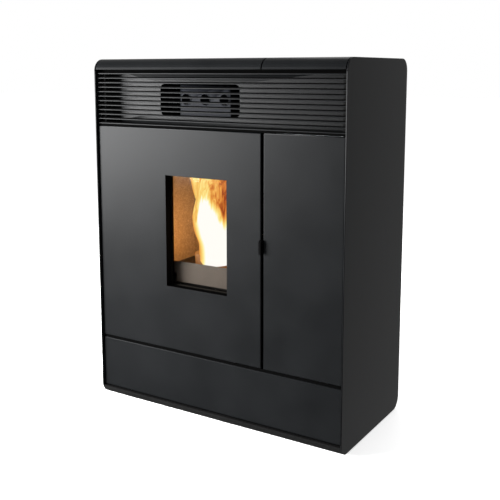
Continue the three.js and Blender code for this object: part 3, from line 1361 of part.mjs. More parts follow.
// Flat bars across the bin, wide enough apart for pellets and too narrow for a hand.
function hopperGrid() {
  const x0 = hopperX0 + hopperSheet + 1;
  const x1 = hopperX1 - hopperSheet - 1;
  const y0 = hopperY0 + hopperSheet + 1;
  const y1 = hopperY1 - hopperSheet - 1;
  const bar = 4;
  const pitch = (x1 - x0 - bar) / gridSlots;
  const z0 = gridHeight + touchGap;
  let grid = block(x0, x1, y0, y1, z0, z0 + bar);
  for (let i = 0; i < gridSlots; i += 1) {
    grid = cut(grid, block(x0 + bar + i * pitch, x0 + (i + 1) * pitch, y0 + 2 * bar, y1 - 2 * bar,
      z0 - 1, z0 + bar + 1));
  }
  return grid;
}

addPiece(stove, 'hopper_grid', hopperGrid(), 'steel');

function lidSeal() {
  const outline = rectangle(hopperX0, hopperX1 - 8, hopperY0 + 2, hopperY1 + 4, 8);
  outline.holes.push(rectangle(hopperX0 + 8, hopperX1 - 16, hopperY0 + 10, hopperY1 - 4, 3));
  return extrude(outline, 'z', hopperMouthTop + touchGap, topZ - coverSheet - touchGap, 2);
}

addPiece(stove, 'lid_seal', lidSeal(), 'rubber');

// ---------------------------------------------------------------- auger
const augerTopOpen = { from: augerLength - augerMouthFrom, to: augerLength - augerMouthTo };

function augerTube() {
  const tube = cut(augerCylinder(augerTubeRadius, 0, augerLength),
    augerCylinder(augerTubeRadius - augerTubeWall, augerTubeWall, augerLength - augerTubeWall));
  const feedMouth = block(neckX0 + hopperSheet, neckX1 - hopperSheet, augerY - neckHalf + hopperSheet,
    augerY + neckHalf - hopperSheet, augerZAt(neckX1), neckTop + 30);
  const drop = new THREE.BoxGeometry(60, 44, augerTopOpen.to - augerTopOpen.from);
  drop.translate(-30, 0, (augerTopOpen.from + augerTopOpen.to) / 2);
  const bore = augerShaftRadius + augerShaftPlay;
  const shaftHole = augerCylinder(bore, -5, augerTubeWall + 5, shaftSides);
  const endHole = augerCylinder(bore, augerLength - 5, augerLength + 5, shaftSides);
  return cut(tube, cut(feedMouth, underAuger()), alongAuger(drop), shaftHole, endHole);
}

addPiece(stove, 'auger_tube', augerTube(), 'galvanised');

const auger = pivotGroup(stove, augerFootX, augerY, augerFootZ);

// The screw's flight: a ribbon of four-cornered sections swept up the shaft.
function augerScrew() {
  const start = augerTubeWall + 6;
  const end = augerLength - augerTubeWall - 6;
  const stepsPerTurn = 8;
  const steps = Math.floor((end - start - 4) / augerPitch * stepsPerTurn);
  const positions = [];
  const faces = [];
  for (let i = 0; i <= steps; i += 1) {
    const a = i * Math.PI * 2 / stepsPerTurn;
    const z = start + i * augerPitch / stepsPerTurn;
    for (const [radius, lift] of [[augerShaftRadius - 2, 0], [augerFlightRadius, 0.8],
      [augerFlightRadius, 2.8], [augerShaftRadius - 2, 4]]) {
      positions.push(radius * Math.cos(a), radius * Math.sin(a), z + lift);
    }
    if (i === steps) continue;
    const base = i * 4;
    for (let k = 0; k < 4; k += 1) {
      const [p, q] = [base + k, base + (k + 1) % 4];
      faces.push(p, p + 4, q, q, p + 4, q + 4);
    }
  }
  const last = steps * 4;
  faces.push(0, 1, 2, 0, 2, 3, last, last + 2, last + 1, last, last + 3, last + 2);
  const flight = new THREE.BufferGeometry();
  flight.setAttribute('position', new THREE.Float32BufferAttribute(positions, 3));
  flight.setIndex(faces);
  return join(augerCylinder(augerShaftRadius, -24, augerLength + 6, shaftSides), alongAuger(flight));
}

addPiece(auger, 'auger_screw', augerScrew(), 'steel');

function feedMotor() {
  const gearbox = new THREE.BoxGeometry(56, 64, 34);
  gearbox.translate(0, 0, -17 - touchGap);
  const bore = augerCylinder(augerShaftRadius + augerShaftPlay, -30, 5, shaftSides);
  return cut(join(alongAuger(gearbox), augerCylinder(25, -90, -33), augerCylinder(10, -98, -89, 10)), bore);
}

addPiece(stove, 'feed_motor', feedMotor(), 'stoveBlack');

// The chute catches the pellets under the auger's top end and drops them through the fire wall.
// Its sloping floor runs at 45 degrees; its open top lies along the auger tube.
function pelletChute() {
  const wall = 2;
  const y0 = chuteY0;
  const y1 = chuteY1;
  const under = (along) => {
    const down = chuteUnderAuger;
    return [augerFootX - along * Math.cos(augerRun) - down * Math.sin(augerRun),
      augerFootZ + along * Math.sin(augerRun) - down * Math.cos(augerRun)];
  };
  const [lowX, lowZ] = [chuteLowX, chuteLowZ];
  const sillZ = chuteLowZ - chuteSill;
  const [highX, highZ] = under(augerTopOpen.to + chuteLap);
  const bendX = shellX1 + 6;
  const outer = polygon([[chuteMouthX, chuteFloorAt(chuteMouthX)], [lowX, sillZ], [lowX, lowZ],
    [highX, highZ], [highX - 6, highZ], [bendX, chuteFloorAt(bendX) + chuteDrop],
    [chuteMouthX, chuteFloorAt(chuteMouthX) + chuteDrop]]);
  const inner = polygon([[chuteMouthX - 1, chuteFloorAt(chuteMouthX - 1) + wall * 1.4],
    [lowX - wall, sillZ + wall], [lowX + 2, lowZ + 8], [highX + 8, highZ + 8], [highX - 3, highZ + 1],
    [bendX + wall, chuteFloorAt(bendX) + chuteDrop - wall],
    [chuteMouthX - 1, chuteFloorAt(chuteMouthX - 1) + chuteDrop - wall]]);
  return cut(extrude(outer, 'y', y0, y1), extrude(inner, 'y', y0 + wall, y1 - wall));
}

addPiece(stove, 'pellet_chute', pelletChute(), 'galvanised');

// ---------------------------------------------------------------- electrics
function controlBox() {
  const z0 = floorZ + coverSheet + touchGap;
  const x0 = dividerX1 + dividerFlange + 8;
  const x1 = x0 + boxWidth;
  const y0 = footFrontY + 6;
  const body = extrude(rectangle(x0, x1, y0, y0 + boxDepth, 4), 'z', z0, z0 + boxHeight, 1);
  const cover = extrude(rectangle(x0 - 4, x1 + 4, y0 - 4, y0 + 2, 2), 'z', z0 + 4, z0 + boxHeight - 8, 1);
  return join(body, cover);
}

addPiece(stove, 'control_box', controlBox(), 'plastic');

const switchWidth = 14;
const switchHeight = 20;
const switchX = inletPlace.x + 17;

// Mains inlet with its rocker switch, snapped into the back panel from outside.
function powerInlet() {
  const { x, z } = inletPlace;
  const depth = 24;
  const body = block(x - inletWidth / 2, x + inletWidth / 2, backInner - depth, casingDepth + 1,
    z - inletHeight / 2, z + inletHeight / 2);
  const bezel = extrude(rectangle(x - inletWidth / 2 - 3, x + inletWidth / 2 + 3, z - inletHeight / 2 - 3,
    z + inletHeight / 2 + 3, 3), 'y', casingDepth + touchGap, casingDepth + 3, 3);
  const socket = block(x - 24, x + 2, casingDepth - 14, casingDepth + 5, z - 9, z + 9);
  const pins = [-19, -11, -3].map((dx, i) => block(x + dx - 1.2, x + dx + 1.2,
    casingDepth - 15, casingDepth - 2,
    z - 3 + (i === 1 ? 3 : 0), z + 1 + (i === 1 ? 3 : 0)));
  const well = block(switchX - switchWidth / 2 - 0.6, switchX + switchWidth / 2 + 0.6, casingDepth - 12,
    casingDepth + 5, z - switchHeight / 2 - 0.8, z + switchHeight / 2 + 0.8);
  const axleHalf = switchWidth / 2 + 2;
  const axle = rod('x', casingDepth - 2, z, 1.2, switchX - axleHalf, switchX + axleHalf, 10);
  return join(cut(join(body, bezel), socket, well), ...pins, axle);
}

addPiece(stove, 'power_inlet', powerInlet(), 'plastic');

const rocker = pivotGroup(stove, switchX, casingDepth - 2, inletPlace.z);

function powerSwitch() {
  const { z } = inletPlace;
  const half = switchHeight / 2;
  const y = casingDepth;
  const section = polygon([[y - 6, z - 4], [y - 2, z - half], [y + 2.5, z - half], [y + 1.4, z],
    [y + 2.5, z + half],
    [y - 2, z + half], [y - 6, z + 4]]);
  return cut(extrude(section, 'x', switchX - switchWidth / 2, switchX + switchWidth / 2),
    rod('x', y - 2, z, 1.5, switchX - switchWidth, switchX + switchWidth, 10));
}

addPiece(rocker, 'power_switch', powerSwitch(), 'plastic');

// The origin goes to the middle of the whole footprint, spigot and handle tab included.
const stoveAssembly = new THREE.Group();
stove.position.set(0, -(casingDepth + rearProud - handleProud) / 2, 0);
stoveAssembly.add(stove);

export default stoveAssembly;
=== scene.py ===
# Slim pellet stove: casing, louvred warm-air grille, glazed fire door, hopper and works.
# Metres, +Z up, the front faces -Y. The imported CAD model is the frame; this file gives it its looks.
import math

import bmesh
import bpy
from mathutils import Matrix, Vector


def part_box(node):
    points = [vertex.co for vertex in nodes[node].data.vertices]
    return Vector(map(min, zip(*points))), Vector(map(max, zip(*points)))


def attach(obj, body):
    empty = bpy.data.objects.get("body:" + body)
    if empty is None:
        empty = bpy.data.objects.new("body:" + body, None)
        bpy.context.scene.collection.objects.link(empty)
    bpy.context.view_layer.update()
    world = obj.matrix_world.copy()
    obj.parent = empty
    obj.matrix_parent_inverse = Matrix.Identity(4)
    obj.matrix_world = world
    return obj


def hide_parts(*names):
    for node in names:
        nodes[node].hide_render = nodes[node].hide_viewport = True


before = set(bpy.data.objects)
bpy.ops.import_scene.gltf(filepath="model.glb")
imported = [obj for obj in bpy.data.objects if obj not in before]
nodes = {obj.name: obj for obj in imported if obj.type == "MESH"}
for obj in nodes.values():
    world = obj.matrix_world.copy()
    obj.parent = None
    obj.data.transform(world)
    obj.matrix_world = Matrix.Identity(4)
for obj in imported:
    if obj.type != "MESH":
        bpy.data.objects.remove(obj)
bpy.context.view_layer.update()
scene = bpy.context.scene


# ---------------------------------------------------------------- camera
# The photograph is taken from the right, a little below the top of the stove. The lens and the
# place were fitted to the casing's corners, with the camera pitched down and a small shift.
camera = bpy.data.objects.new("camera", bpy.data.cameras.new("camera"))
scene.collection.objects.link(camera)
scene.camera = camera
camera.data.sensor_width = 36.0
camera.data.lens = 57.80
camera.data.shift_y = -0.12
camera.data.clip_start = 0.05
camera.data.clip_end = 60.0
camera.location = (1.3516, -2.1791, 1.0851)
camera.rotation_mode = "XYZ"
camera.rotation_euler = (math.radians(90 - 8.397), 0, math.radians(31.866))
scene.view_settings.view_transform = "Standard"


# ---------------------------------------------------------------- studio
# Pale seamless paper and a weak even sky, which the camera and the gloss of the paint see as plain
# white. A large soft box on the left in front lays the broad sheen across the door; a weaker one
# behind and above lights the back, the top and the floor.
def linear(value):
    """An sRGB hex colour as linear RGBA."""
    channels = [int(value[i:i + 2], 16) / 255 for i in (1, 3, 5)]
    return [c / 12.92 if c <= 0.04045 else ((c + 0.055) / 1.055) ** 2.4 for c in channels] + [1.0]


def add_node(tree, kind, settings=None, **links):
    """Adds a node; a link's name is the input's name with _ for a blank, or i and its number."""
    node = tree.nodes.new(kind)
    for key, value in (settings or {}).items():
        setattr(node, key, value)
    for key, value in links.items():
        numbered = key[0] == "i" and key[1:].isdigit()
        socket = node.inputs[int(key[1:])] if numbered else node.inputs[key.replace("_", " ")]
        if isinstance(value, bpy.types.NodeSocket):
            tree.links.new(value, socket)
        else:
            socket.default_value = value
    return node


def start_material(name):
    material = bpy.data.materials.new(name)
    material.use_nodes = True
    material.node_tree.nodes.clear()
    return material, material.node_tree


world = bpy.data.worlds.new("studio")
scene.world = world
world.use_nodes = True
sky = world.node_tree
sky.nodes.clear()
sky_path = add_node(sky, "ShaderNodeLightPath")
sky_seen = add_node(sky, "ShaderNodeMath", {"operation": "MAXIMUM"},
                    i0=sky_path.outputs["Is Camera Ray"], i1=sky_path.outputs["Is Transmission Ray"])
sky_seen = add_node(sky, "ShaderNodeMath", {"operation": "MAXIMUM"},
                    i0=sky_seen.outputs[0], i1=sky_path.outputs["Is Glossy Ray"])
sky_soft = add_node(sky, "ShaderNodeBackground", Color=linear("#FFFFFF"), Strength=0.45)
sky_white = add_node(sky, "ShaderNodeBackground", Color=linear("#FFFFFF"), Strength=1.0)
sky_mix = add_node(sky, "ShaderNodeMixShader", i0=sky_seen.outputs[0],
                   i1=sky_soft.outputs[0], i2=sky_white.outputs[0])
add_node(sky, "ShaderNodeOutputWorld", Surface=sky_mix.outputs[0])

floor_mesh = bpy.data.meshes.new("floor")
floor_mesh.from_pydata([(-30, -30, 0), (30, -30, 0), (30, 30, 0), (-30, 30, 0)], [], [(0, 1, 2, 3)])
floor = bpy.data.objects.new("floor", floor_mesh)
scene.collection.objects.link(floor)
paper, tree = start_material("matt_paper")
coords = add_node(tree, "ShaderNodeTexCoord")
fibre_size = 0.0011
fibre = add_node(tree, "ShaderNodeTexNoise", Vector=coords.outputs["Object"], Scale=1 / fibre_size,
                 Detail=2.0)
paper_bump = add_node(tree, "ShaderNodeBump", Height=fibre.outputs["Fac"], Strength=0.05, Distance=0.0004)
paper_skin = add_node(tree, "ShaderNodeBsdfPrincipled", Base_Color=linear("#F6F6F6"), Roughness=0.9,
                      Specular_IOR_Level=0.1, Normal=paper_bump.outputs[0])
# The paper is lifted to white where it is seen, and keeps the stove's shadow.
seen_lift = 0.62
paper_path = add_node(tree, "ShaderNodeLightPath")
paper_seen = add_node(tree, "ShaderNodeMath", {"operation": "MAXIMUM"},
                      i0=paper_path.outputs["Is Camera Ray"], i1=paper_path.outputs["Is Transmission Ray"])
paper_lift = add_node(tree, "ShaderNodeMath", {"operation": "MULTIPLY"}, i0=paper_seen.outputs[0],
                      i1=seen_lift)
paper_glow = add_node(tree, "ShaderNodeEmission", Color=linear("#FFFFFF"), Strength=paper_lift.outputs[0])
paper_sum = add_node(tree, "ShaderNodeAddShader", i0=paper_skin.outputs[0], i1=paper_glow.outputs[0])
paper_white = add_node(tree, "ShaderNodeEmission", Color=linear("#FFFFFF"), Strength=1.0)
paper_mix = add_node(tree, "ShaderNodeMixShader", i0=paper_path.outputs["Is Glossy Ray"],
                     i1=paper_sum.outputs[0], i2=paper_white.outputs[0])
add_node(tree, "ShaderNodeOutputMaterial", Surface=paper_mix.outputs[0])
floor_mesh.materials.append(paper)

for name, place, target, width, height, power in (
        ("left_box", (-2.21, -2.12, 1.00), (-0.30, -0.23, 0.90), 1.7, 1.3, 590.0),
        ("top_box", (-0.3, 2.2, 3.2), (0.0, 0.0, 0.6), 2.2, 2.2, 45.0)):
    light = bpy.data.objects.new(name, bpy.data.lights.new(name, "AREA"))
    light.data.shape = "RECTANGLE"
    light.data.size = width
    light.data.size_y = height
    light.data.energy = power
    light.location = place
    light.rotation_euler = (Vector(target) - Vector(place)).to_track_quat("-Z", "Y").to_euler()
    scene.collection.objects.link(light)


# ---------------------------------------------------------------- painted casing sheets
# Side panels, front panels, door skin, grille and the two tops: folded and rolled
# steel sheet with anthracite powder paint, which has a fine orange peel and a broad sheen.
def plain_mesh(piece):
    """Turns what a piece's modifiers make into its own mesh, and takes the modifiers off."""
    shaped = piece.evaluated_get(bpy.context.evaluated_depsgraph_get())
    mesh = bpy.data.meshes.new_from_object(shaped)
    piece.modifiers.clear()
    piece.data = mesh
    mesh.name = piece.name


def smooth_copy(name, body, material, angle=32.0):
    """A merged copy of a CAD node, smooth on its rounds and even on its flats, stands for it."""
    mesh = nodes[name].data.copy()
    build = bmesh.new()
    build.from_mesh(mesh)
    bmesh.ops.remove_doubles(build, verts=build.verts, dist=1e-5)
    build.to_mesh(mesh)
    build.free()
    mesh.materials.clear()
    mesh.materials.append(material)
    for polygon in mesh.polygons:
        polygon.material_index = 0
        polygon.use_smooth = True
    mesh.set_sharp_from_angle(angle=math.radians(angle))
    piece = bpy.data.objects.new(name + "_skin", mesh)
    scene.collection.objects.link(piece)
    even = piece.modifiers.new("even_flats", "WEIGHTED_NORMAL")
    even.weight = 100
    even.keep_sharp = True
    plain_mesh(piece)
    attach(piece, body)
    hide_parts(name)


powder_paint, tree = start_material("anthracite_powder_paint")
coords = add_node(tree, "ShaderNodeTexCoord")
# The tone drifts in clouds about 170 mm across; orange peel is about 2 mm from crest to crest.
cloud = add_node(tree, "ShaderNodeTexNoise", Vector=coords.outputs["Object"], Scale=6.0, Detail=3.0)
peel = add_node(tree, "ShaderNodeTexNoise", Vector=coords.outputs["Object"], Scale=1 / 0.002, Detail=2.0)
tone = add_node(tree, "ShaderNodeValToRGB", Fac=cloud.outputs["Fac"])
tone.color_ramp.elements[0].position = 0.35
tone.color_ramp.elements[0].color = linear("#090A0B")
tone.color_ramp.elements[1].position = 0.65
tone.color_ramp.elements[1].color = linear("#0D0E0F")
gloss = add_node(tree, "ShaderNodeMapRange", Value=cloud.outputs["Fac"], To_Min=0.37, To_Max=0.41)
edge_round = add_node(tree, "ShaderNodeBevel", {"samples": 4}, Radius=0.0008)
peel_bump = add_node(tree, "ShaderNodeBump", Height=peel.outputs["Fac"], Strength=0.12, Distance=0.0002,
                     Normal=edge_round.outputs[0])
# The low IOR is tuned to this studio: a real paint's 1.5 mirrors its white surroundings too brightly.
skin = add_node(tree, "ShaderNodeBsdfPrincipled", Base_Color=tone.outputs[0],
                Roughness=gloss.outputs[0], IOR=1.11, Normal=peel_bump.outputs[0])
add_node(tree, "ShaderNodeOutputMaterial", Surface=skin.outputs[0])

for name in ("side_panel_left", "side_panel_right", "lower_front_panel", "right_front_panel",
             "air_grille", "top_cover"):
    smooth_copy(name, "casing", powder_paint)
smooth_copy("door_panel", "door", powder_paint)
smooth_copy("hopper_lid", "lid", powder_paint)


# ---------------------------------------------------------------- galvanised sheet
# Back panel, hopper, funnel, chute, ducts and control box: zinc-coated sheet left as it comes,
# folded and spot-welded, with pale crystals and a dull grey shine.
def dress(name, material):
    """Gives a CAD node its finish."""
    for slot in nodes[name].material_slots:
        slot.material = material


zinc, tree = start_material("galvanised_sheet")
coords = add_node(tree, "ShaderNodeTexCoord")
# A zinc crystal is about 8 mm across.
crystal = add_node(tree, "ShaderNodeTexVoronoi", Vector=coords.outputs["Object"], Scale=1 / 0.008)
zinc_tone = add_node(tree, "ShaderNodeValToRGB", Fac=crystal.outputs["Color"])
zinc_tone.color_ramp.elements[0].color = linear("#8B8F93")
zinc_tone.color_ramp.elements[1].color = linear("#B4B8BB")
zinc_gloss = add_node(tree, "ShaderNodeMapRange", Value=crystal.outputs["Color"], To_Min=0.34, To_Max=0.48)
zinc_round = add_node(tree, "ShaderNodeBevel", {"samples": 3}, Radius=0.0006)
zinc_skin = add_node(tree, "ShaderNodeBsdfPrincipled", Base_Color=zinc_tone.outputs[0], Metallic=1.0,
                     Roughness=zinc_gloss.outputs[0], Normal=zinc_round.outputs[0])
add_node(tree, "ShaderNodeOutputMaterial", Surface=zinc_skin.outputs[0])

for name in ("back_panel", "hopper", "hopper_funnel", "pellet_chute", "lid_hinge", "control_box"):
    dress(name, zinc)
for name in ("auger_tube", "room_fan_housing", "air_plenum", "smoke_duct", "smoke_fan_housing"):
    smooth_copy(name, "casing", zinc)


# ---------------------------------------------------------------- plain steel parts
# Feet, igniter, hopper guard, auger and the two rotors: turned or pressed steel, left bright
# and a little dulled by handling.
steel, tree = start_material("plain_turned_steel")
coords = add_node(tree, "ShaderNodeTexCoord")
# Marks of handling are about 3 mm across.
marks = add_node(tree, "ShaderNodeTexNoise", Vector=coords.outputs["Object"], Scale=1 / 0.0033, Detail=4.0)
steel_tone = add_node(tree, "ShaderNodeValToRGB", Fac=marks.outputs["Fac"])
steel_tone.color_ramp.elements[0].color = linear("#9EA1A4")
steel_tone.color_ramp.elements[1].color = linear("#BFC2C4")
steel_gloss = add_node(tree, "ShaderNodeMapRange", Value=marks.outputs["Fac"], To_Min=0.25, To_Max=0.42)
steel_skin = add_node(tree, "ShaderNodeBsdfPrincipled", Base_Color=steel_tone.outputs[0], Metallic=1.0,
                      Roughness=steel_gloss.outputs[0])
add_node(tree, "ShaderNodeOutputMaterial", Surface=steel_skin.outputs[0])
for name in ("hopper_grid", "igniter", "foot_front_left", "foot_front_right", "foot_rear_left",
             "foot_rear_right"):
    dress(name, steel)
smooth_copy("auger_screw", "auger", steel)
smooth_copy("room_fan_drum", "room_fan", steel)
smooth_copy("smoke_impeller", "smoke_fan", steel)


# ---------------------------------------------------------------- sheet-metal screws
# Hexagon-head tapping screws with a pressed washer, zinc plated: they hold the back panel to
# the casing all round, and the glass retainer to the door frame.
screw_rows = bpy.data.node_groups.new("screw_rows", "GeometryNodeTree")
screw_rows.interface.new_socket("Screws", in_out="OUTPUT", socket_type="NodeSocketGeometry")
screw_inputs = {}
for name, kind, value in (("Across", "NodeSocketFloat", 0.86), ("Up", "NodeSocketFloat", 1.0),
                          ("Count Across", "NodeSocketInt", 4), ("Count Up", "NodeSocketInt", 6),
                          ("Middle", "NodeSocketVector", (0.0, 0.0, 0.0)),
                          ("Washer Radius", "NodeSocketFloat", 0.0058),
                          ("Head Radius", "NodeSocketFloat", 0.0042),
                          ("Head Height", "NodeSocketFloat", 0.0032),
                          ("Finish", "NodeSocketMaterial", None)):
    socket = screw_rows.interface.new_socket(name, in_out="INPUT", socket_type=kind)
    if value is not None:
        socket.default_value = value
    screw_inputs[name] = socket.identifier
given = add_node(screw_rows, "NodeGroupInput")
field = add_node(screw_rows, "GeometryNodeMeshGrid", Size_X=given.outputs["Across"],
                 Size_Y=given.outputs["Up"], Vertices_X=given.outputs["Count Across"],
                 Vertices_Y=given.outputs["Count Up"])
where = add_node(screw_rows, "GeometryNodeInputPosition")
parts = add_node(screw_rows, "ShaderNodeSeparateXYZ", Vector=where.outputs[0])
# A point nearer the middle than this share of the whole size isn't on the border, and goes.
border_share = 0.499
inner = []
for axis, size in ((0, "Across"), (1, "Up")):
    off = add_node(screw_rows, "ShaderNodeMath", {"operation": "ABSOLUTE"}, i0=parts.outputs[axis])
    edge = add_node(screw_rows, "ShaderNodeMath", {"operation": "MULTIPLY"},
                    i0=given.outputs[size], i1=border_share)
    inner.append(add_node(screw_rows, "ShaderNodeMath", {"operation": "LESS_THAN"},
                          i0=off.outputs[0], i1=edge.outputs[0]))
both = add_node(screw_rows, "ShaderNodeMath", {"operation": "MULTIPLY"}, i0=inner[0].outputs[0],
                i1=inner[1].outputs[0])
border = add_node(screw_rows, "GeometryNodeDeleteGeometry", {"domain": "POINT"},
                  Geometry=field.outputs[0], Selection=both.outputs[0])
washer_height = 0.0016
washer = add_node(screw_rows, "GeometryNodeMeshCylinder", Vertices=14,
                  Radius=given.outputs["Washer Radius"], Depth=washer_height)
hexagon = add_node(screw_rows, "GeometryNodeMeshCylinder", Vertices=6,
                   Radius=given.outputs["Head Radius"], Depth=given.outputs["Head Height"])
lift = add_node(screw_rows, "ShaderNodeCombineXYZ")
half = add_node(screw_rows, "ShaderNodeMath", {"operation": "MULTIPLY"},
                i0=given.outputs["Head Height"], i1=0.5)
screw_rows.links.new(half.outputs[0], lift.inputs[2])
raised = add_node(screw_rows, "GeometryNodeTransform", Geometry=hexagon.outputs[0],
                  Translation=lift.outputs[0])
head = add_node(screw_rows, "GeometryNodeJoinGeometry")
screw_rows.links.new(washer.outputs[0], head.inputs[0])
screw_rows.links.new(raised.outputs[0], head.inputs[0])
turn = add_node(screw_rows, "FunctionNodeRandomValue", {"data_type": "FLOAT_VECTOR"},
                Seed=7)
turn.inputs[0].default_value = (0.0, 0.0, 0.0)
turn.inputs[1].default_value = (0.0, 0.0, 1.0)
heads = add_node(screw_rows, "GeometryNodeInstanceOnPoints", Points=border.outputs[0],
                 Instance=head.outputs[0], Rotation=turn.outputs[0])
placed = add_node(screw_rows, "GeometryNodeTransform", Geometry=heads.outputs[0],
                  Translation=given.outputs["Middle"], Rotation=(-math.pi / 2, 0.0, 0.0))
real = add_node(screw_rows, "GeometryNodeRealizeInstances", Geometry=placed.outputs[0])
finished = add_node(screw_rows, "GeometryNodeSetMaterial", Geometry=real.outputs[0],
                    Material=given.outputs["Finish"])
out = add_node(screw_rows, "NodeGroupOutput")
screw_rows.links.new(finished.outputs[0], out.inputs[0])


def grow(name, group, inputs, body, slot, **values):
    """Runs a geometry tree with its named inputs set, and keeps its result as a plain mesh."""
    piece = bpy.data.objects.new(name, bpy.data.meshes.new(name))
    scene.collection.objects.link(piece)
    shape = piece.modifiers.new("shape", "NODES")
    shape.node_group = group
    for key, value in values.items():
        shape[inputs[key.replace("_", " ")]] = value
    plain_mesh(piece)
    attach(piece, body)


panel_low, panel_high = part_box("back_panel")
screw_edge = 0.009
grow("back_panel_screws", screw_rows, screw_inputs, "casing", "steel",
     Across=panel_high.x - panel_low.x - 2 * screw_edge, Up=panel_high.z - panel_low.z - 2 * screw_edge,
     Count_Across=5, Count_Up=6, Finish=steel,
     Middle=(0.0, panel_high.y + washer_height / 2, (panel_low.z + panel_high.z) / 2))


# ---------------------------------------------------------------- heat-proof black parts
# Base tray, side frames and divider, firebox and its stand, baffle, ash pan, pipes, motors, door
# hinge brackets and latch keeper: steel in matt stove paint, slightly rough to the touch.
stove_paint, tree = start_material("matt_stove_paint")
coords = add_node(tree, "ShaderNodeTexCoord")
# The grit is about 1.4 mm from grain to grain, and hazy patches are about 70 mm across.
grit = add_node(tree, "ShaderNodeTexNoise", Vector=coords.outputs["Object"], Scale=1 / 0.0014, Detail=3.0)
haze = add_node(tree, "ShaderNodeTexNoise", Vector=coords.outputs["Object"], Scale=1 / 0.07, Detail=2.0)
stove_tone = add_node(tree, "ShaderNodeValToRGB", Fac=haze.outputs["Fac"])
stove_tone.color_ramp.elements[0].color = linear("#0B0B0B")
stove_tone.color_ramp.elements[1].color = linear("#121212")
stove_bump = add_node(tree, "ShaderNodeBump", Height=grit.outputs["Fac"], Strength=0.25, Distance=0.0002)
stove_skin = add_node(tree, "ShaderNodeBsdfPrincipled", Base_Color=stove_tone.outputs[0],
                      Roughness=0.72, IOR=1.1, Normal=stove_bump.outputs[0])
add_node(tree, "ShaderNodeOutputMaterial", Surface=stove_skin.outputs[0])

for name in ("firebox_body", "firebox_stand", "feed_motor", "latch_keeper", "ash_pan",
             "side_frame_left", "side_frame_right", "divider_plate", "door_hinge_bracket_lower",
             "door_hinge_bracket_upper", "baffle_plate"):
    dress(name, stove_paint)
for name in ("room_fan_motor", "smoke_fan_motor", "flue_spigot", "air_intake_pipe"):
    smooth_copy(name, "casing", stove_paint)
smooth_copy("base_tray", "casing", stove_paint)


# ---------------------------------------------------------------- flat black, and painted shade behind the openings
# The door's cast inner frame and its glass retainer, in flat black; and thin strips with no solid in the
# CAD, which are painted shade that keeps gaps as dark as in the photograph: behind each slat's lip, over
# and under the door, under the cover and over the base.
flat_black, tree = start_material("flat_black")
coords = add_node(tree, "ShaderNodeTexCoord")
# The grain is about 1 mm across.
soot = add_node(tree, "ShaderNodeTexNoise", Vector=coords.outputs["Object"], Scale=1 / 0.001, Detail=3.0)
soot_tone = add_node(tree, "ShaderNodeValToRGB", Fac=soot.outputs["Fac"])
soot_tone.color_ramp.elements[0].color = linear("#020202")
soot_tone.color_ramp.elements[1].color = linear("#050505")
soot_skin = add_node(tree, "ShaderNodeBsdfPrincipled", Base_Color=soot_tone.outputs[0], Roughness=0.9,
                     IOR=1.03)
add_node(tree, "ShaderNodeOutputMaterial", Surface=soot_skin.outputs[0])
for name in ("door_frame", "glass_retainer"):
    dress(name, flat_black)


def add_boxes(name, corners, body, material):
    """A piece of plain boxes, each given by its low and its high corner."""
    build = bmesh.new()
    for low, high in corners:
        for vert in bmesh.ops.create_cube(build, size=1.0)["verts"]:
            vert.co = [high[axis] if vert.co[axis] > 0 else low[axis] for axis in range(3)]
    mesh = bpy.data.meshes.new(name)
    build.to_mesh(mesh)
    build.free()
    mesh.materials.append(material)
    piece = bpy.data.objects.new(name, mesh)
    scene.collection.objects.link(piece)
    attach(piece, body)


grille_low, grille_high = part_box("air_grille")
lower_low, lower_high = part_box("lower_front_panel")
slat_pitch, slat_count, comb_over, half_blade = 0.0143, 12, 0.006, 0.0007
# How high a strip of painted shade reaches over its slat's middle, how far the lowest strip hangs under its
# slat, and how far the top one reaches up behind the lid.
shade_strip_top, lowest_hang, cover_lap = 0.0048, 0.008, 0.003
strip_end, strip_thick, slot_gap, base_gap, base_lip = 0.003, 0.0008, 0.0005, 0.0003, 0.034
lowest_slat = grille_low.z + comb_over
highest_slat = lowest_slat + (slat_count - 1) * slat_pitch
behind_lip, behind_cover, behind_panel = (grille_low.y + depth for depth in (0.004, 0.014, 0.002))
strips = [(behind_lip, lowest_slat + i * slat_pitch + half_blade, lowest_slat + i * slat_pitch + shade_strip_top)
          for i in range(slat_count)]
strips += [
    (behind_lip, lowest_slat - lowest_hang, lowest_slat - half_blade),
    (behind_cover, highest_slat + half_blade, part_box("hopper_lid")[0].z + cover_lap),
    (behind_panel, lower_high.z + slot_gap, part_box("right_front_panel")[0].z - slot_gap),
    (behind_panel, base_lip + base_gap, lower_low.z - base_gap)]
# Painted shade: flat black strips just behind the slats' lips and in the gaps between the panels.
add_boxes("painted_shade_strips", [((grille_low.x + strip_end, front, low),
                          (grille_high.x - strip_end, front + strip_thick, high))
                         for front, low, high in strips], "casing", flat_black)


# ---------------------------------------------------------------- painted shade in the window
# A thin black strip with no solid in the CAD, which is painted shade: it darkens the turned-in edges of the
# window in the door's skin, as far as the glass.
glass_low, glass_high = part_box("door_glass")
glass_side, shade_sheet, shade_sheet_gap, shade_sheet_inset = 0.0067, 0.0004, 0.0001, 0.0005
left, right = glass_low.x + glass_side + shade_sheet_gap, glass_high.x - glass_side - shade_sheet_gap
foot, head_z = glass_low.z + glass_side + shade_sheet_gap, glass_high.z - glass_side - shade_sheet_gap
front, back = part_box("door_panel")[0].y + shade_sheet_inset, glass_low.y - shade_sheet_inset
add_boxes("window_painted_shade", [
    ((left, front, foot), (right, back, foot + shade_sheet)),
    ((left, front, head_z - shade_sheet), (right, back, head_z)),
    ((left, front, foot + shade_sheet), (left + shade_sheet, back, head_z - shade_sheet)),
    ((right - shade_sheet, front, foot + shade_sheet), (right, back, head_z - shade_sheet))], "door",
    flat_black)
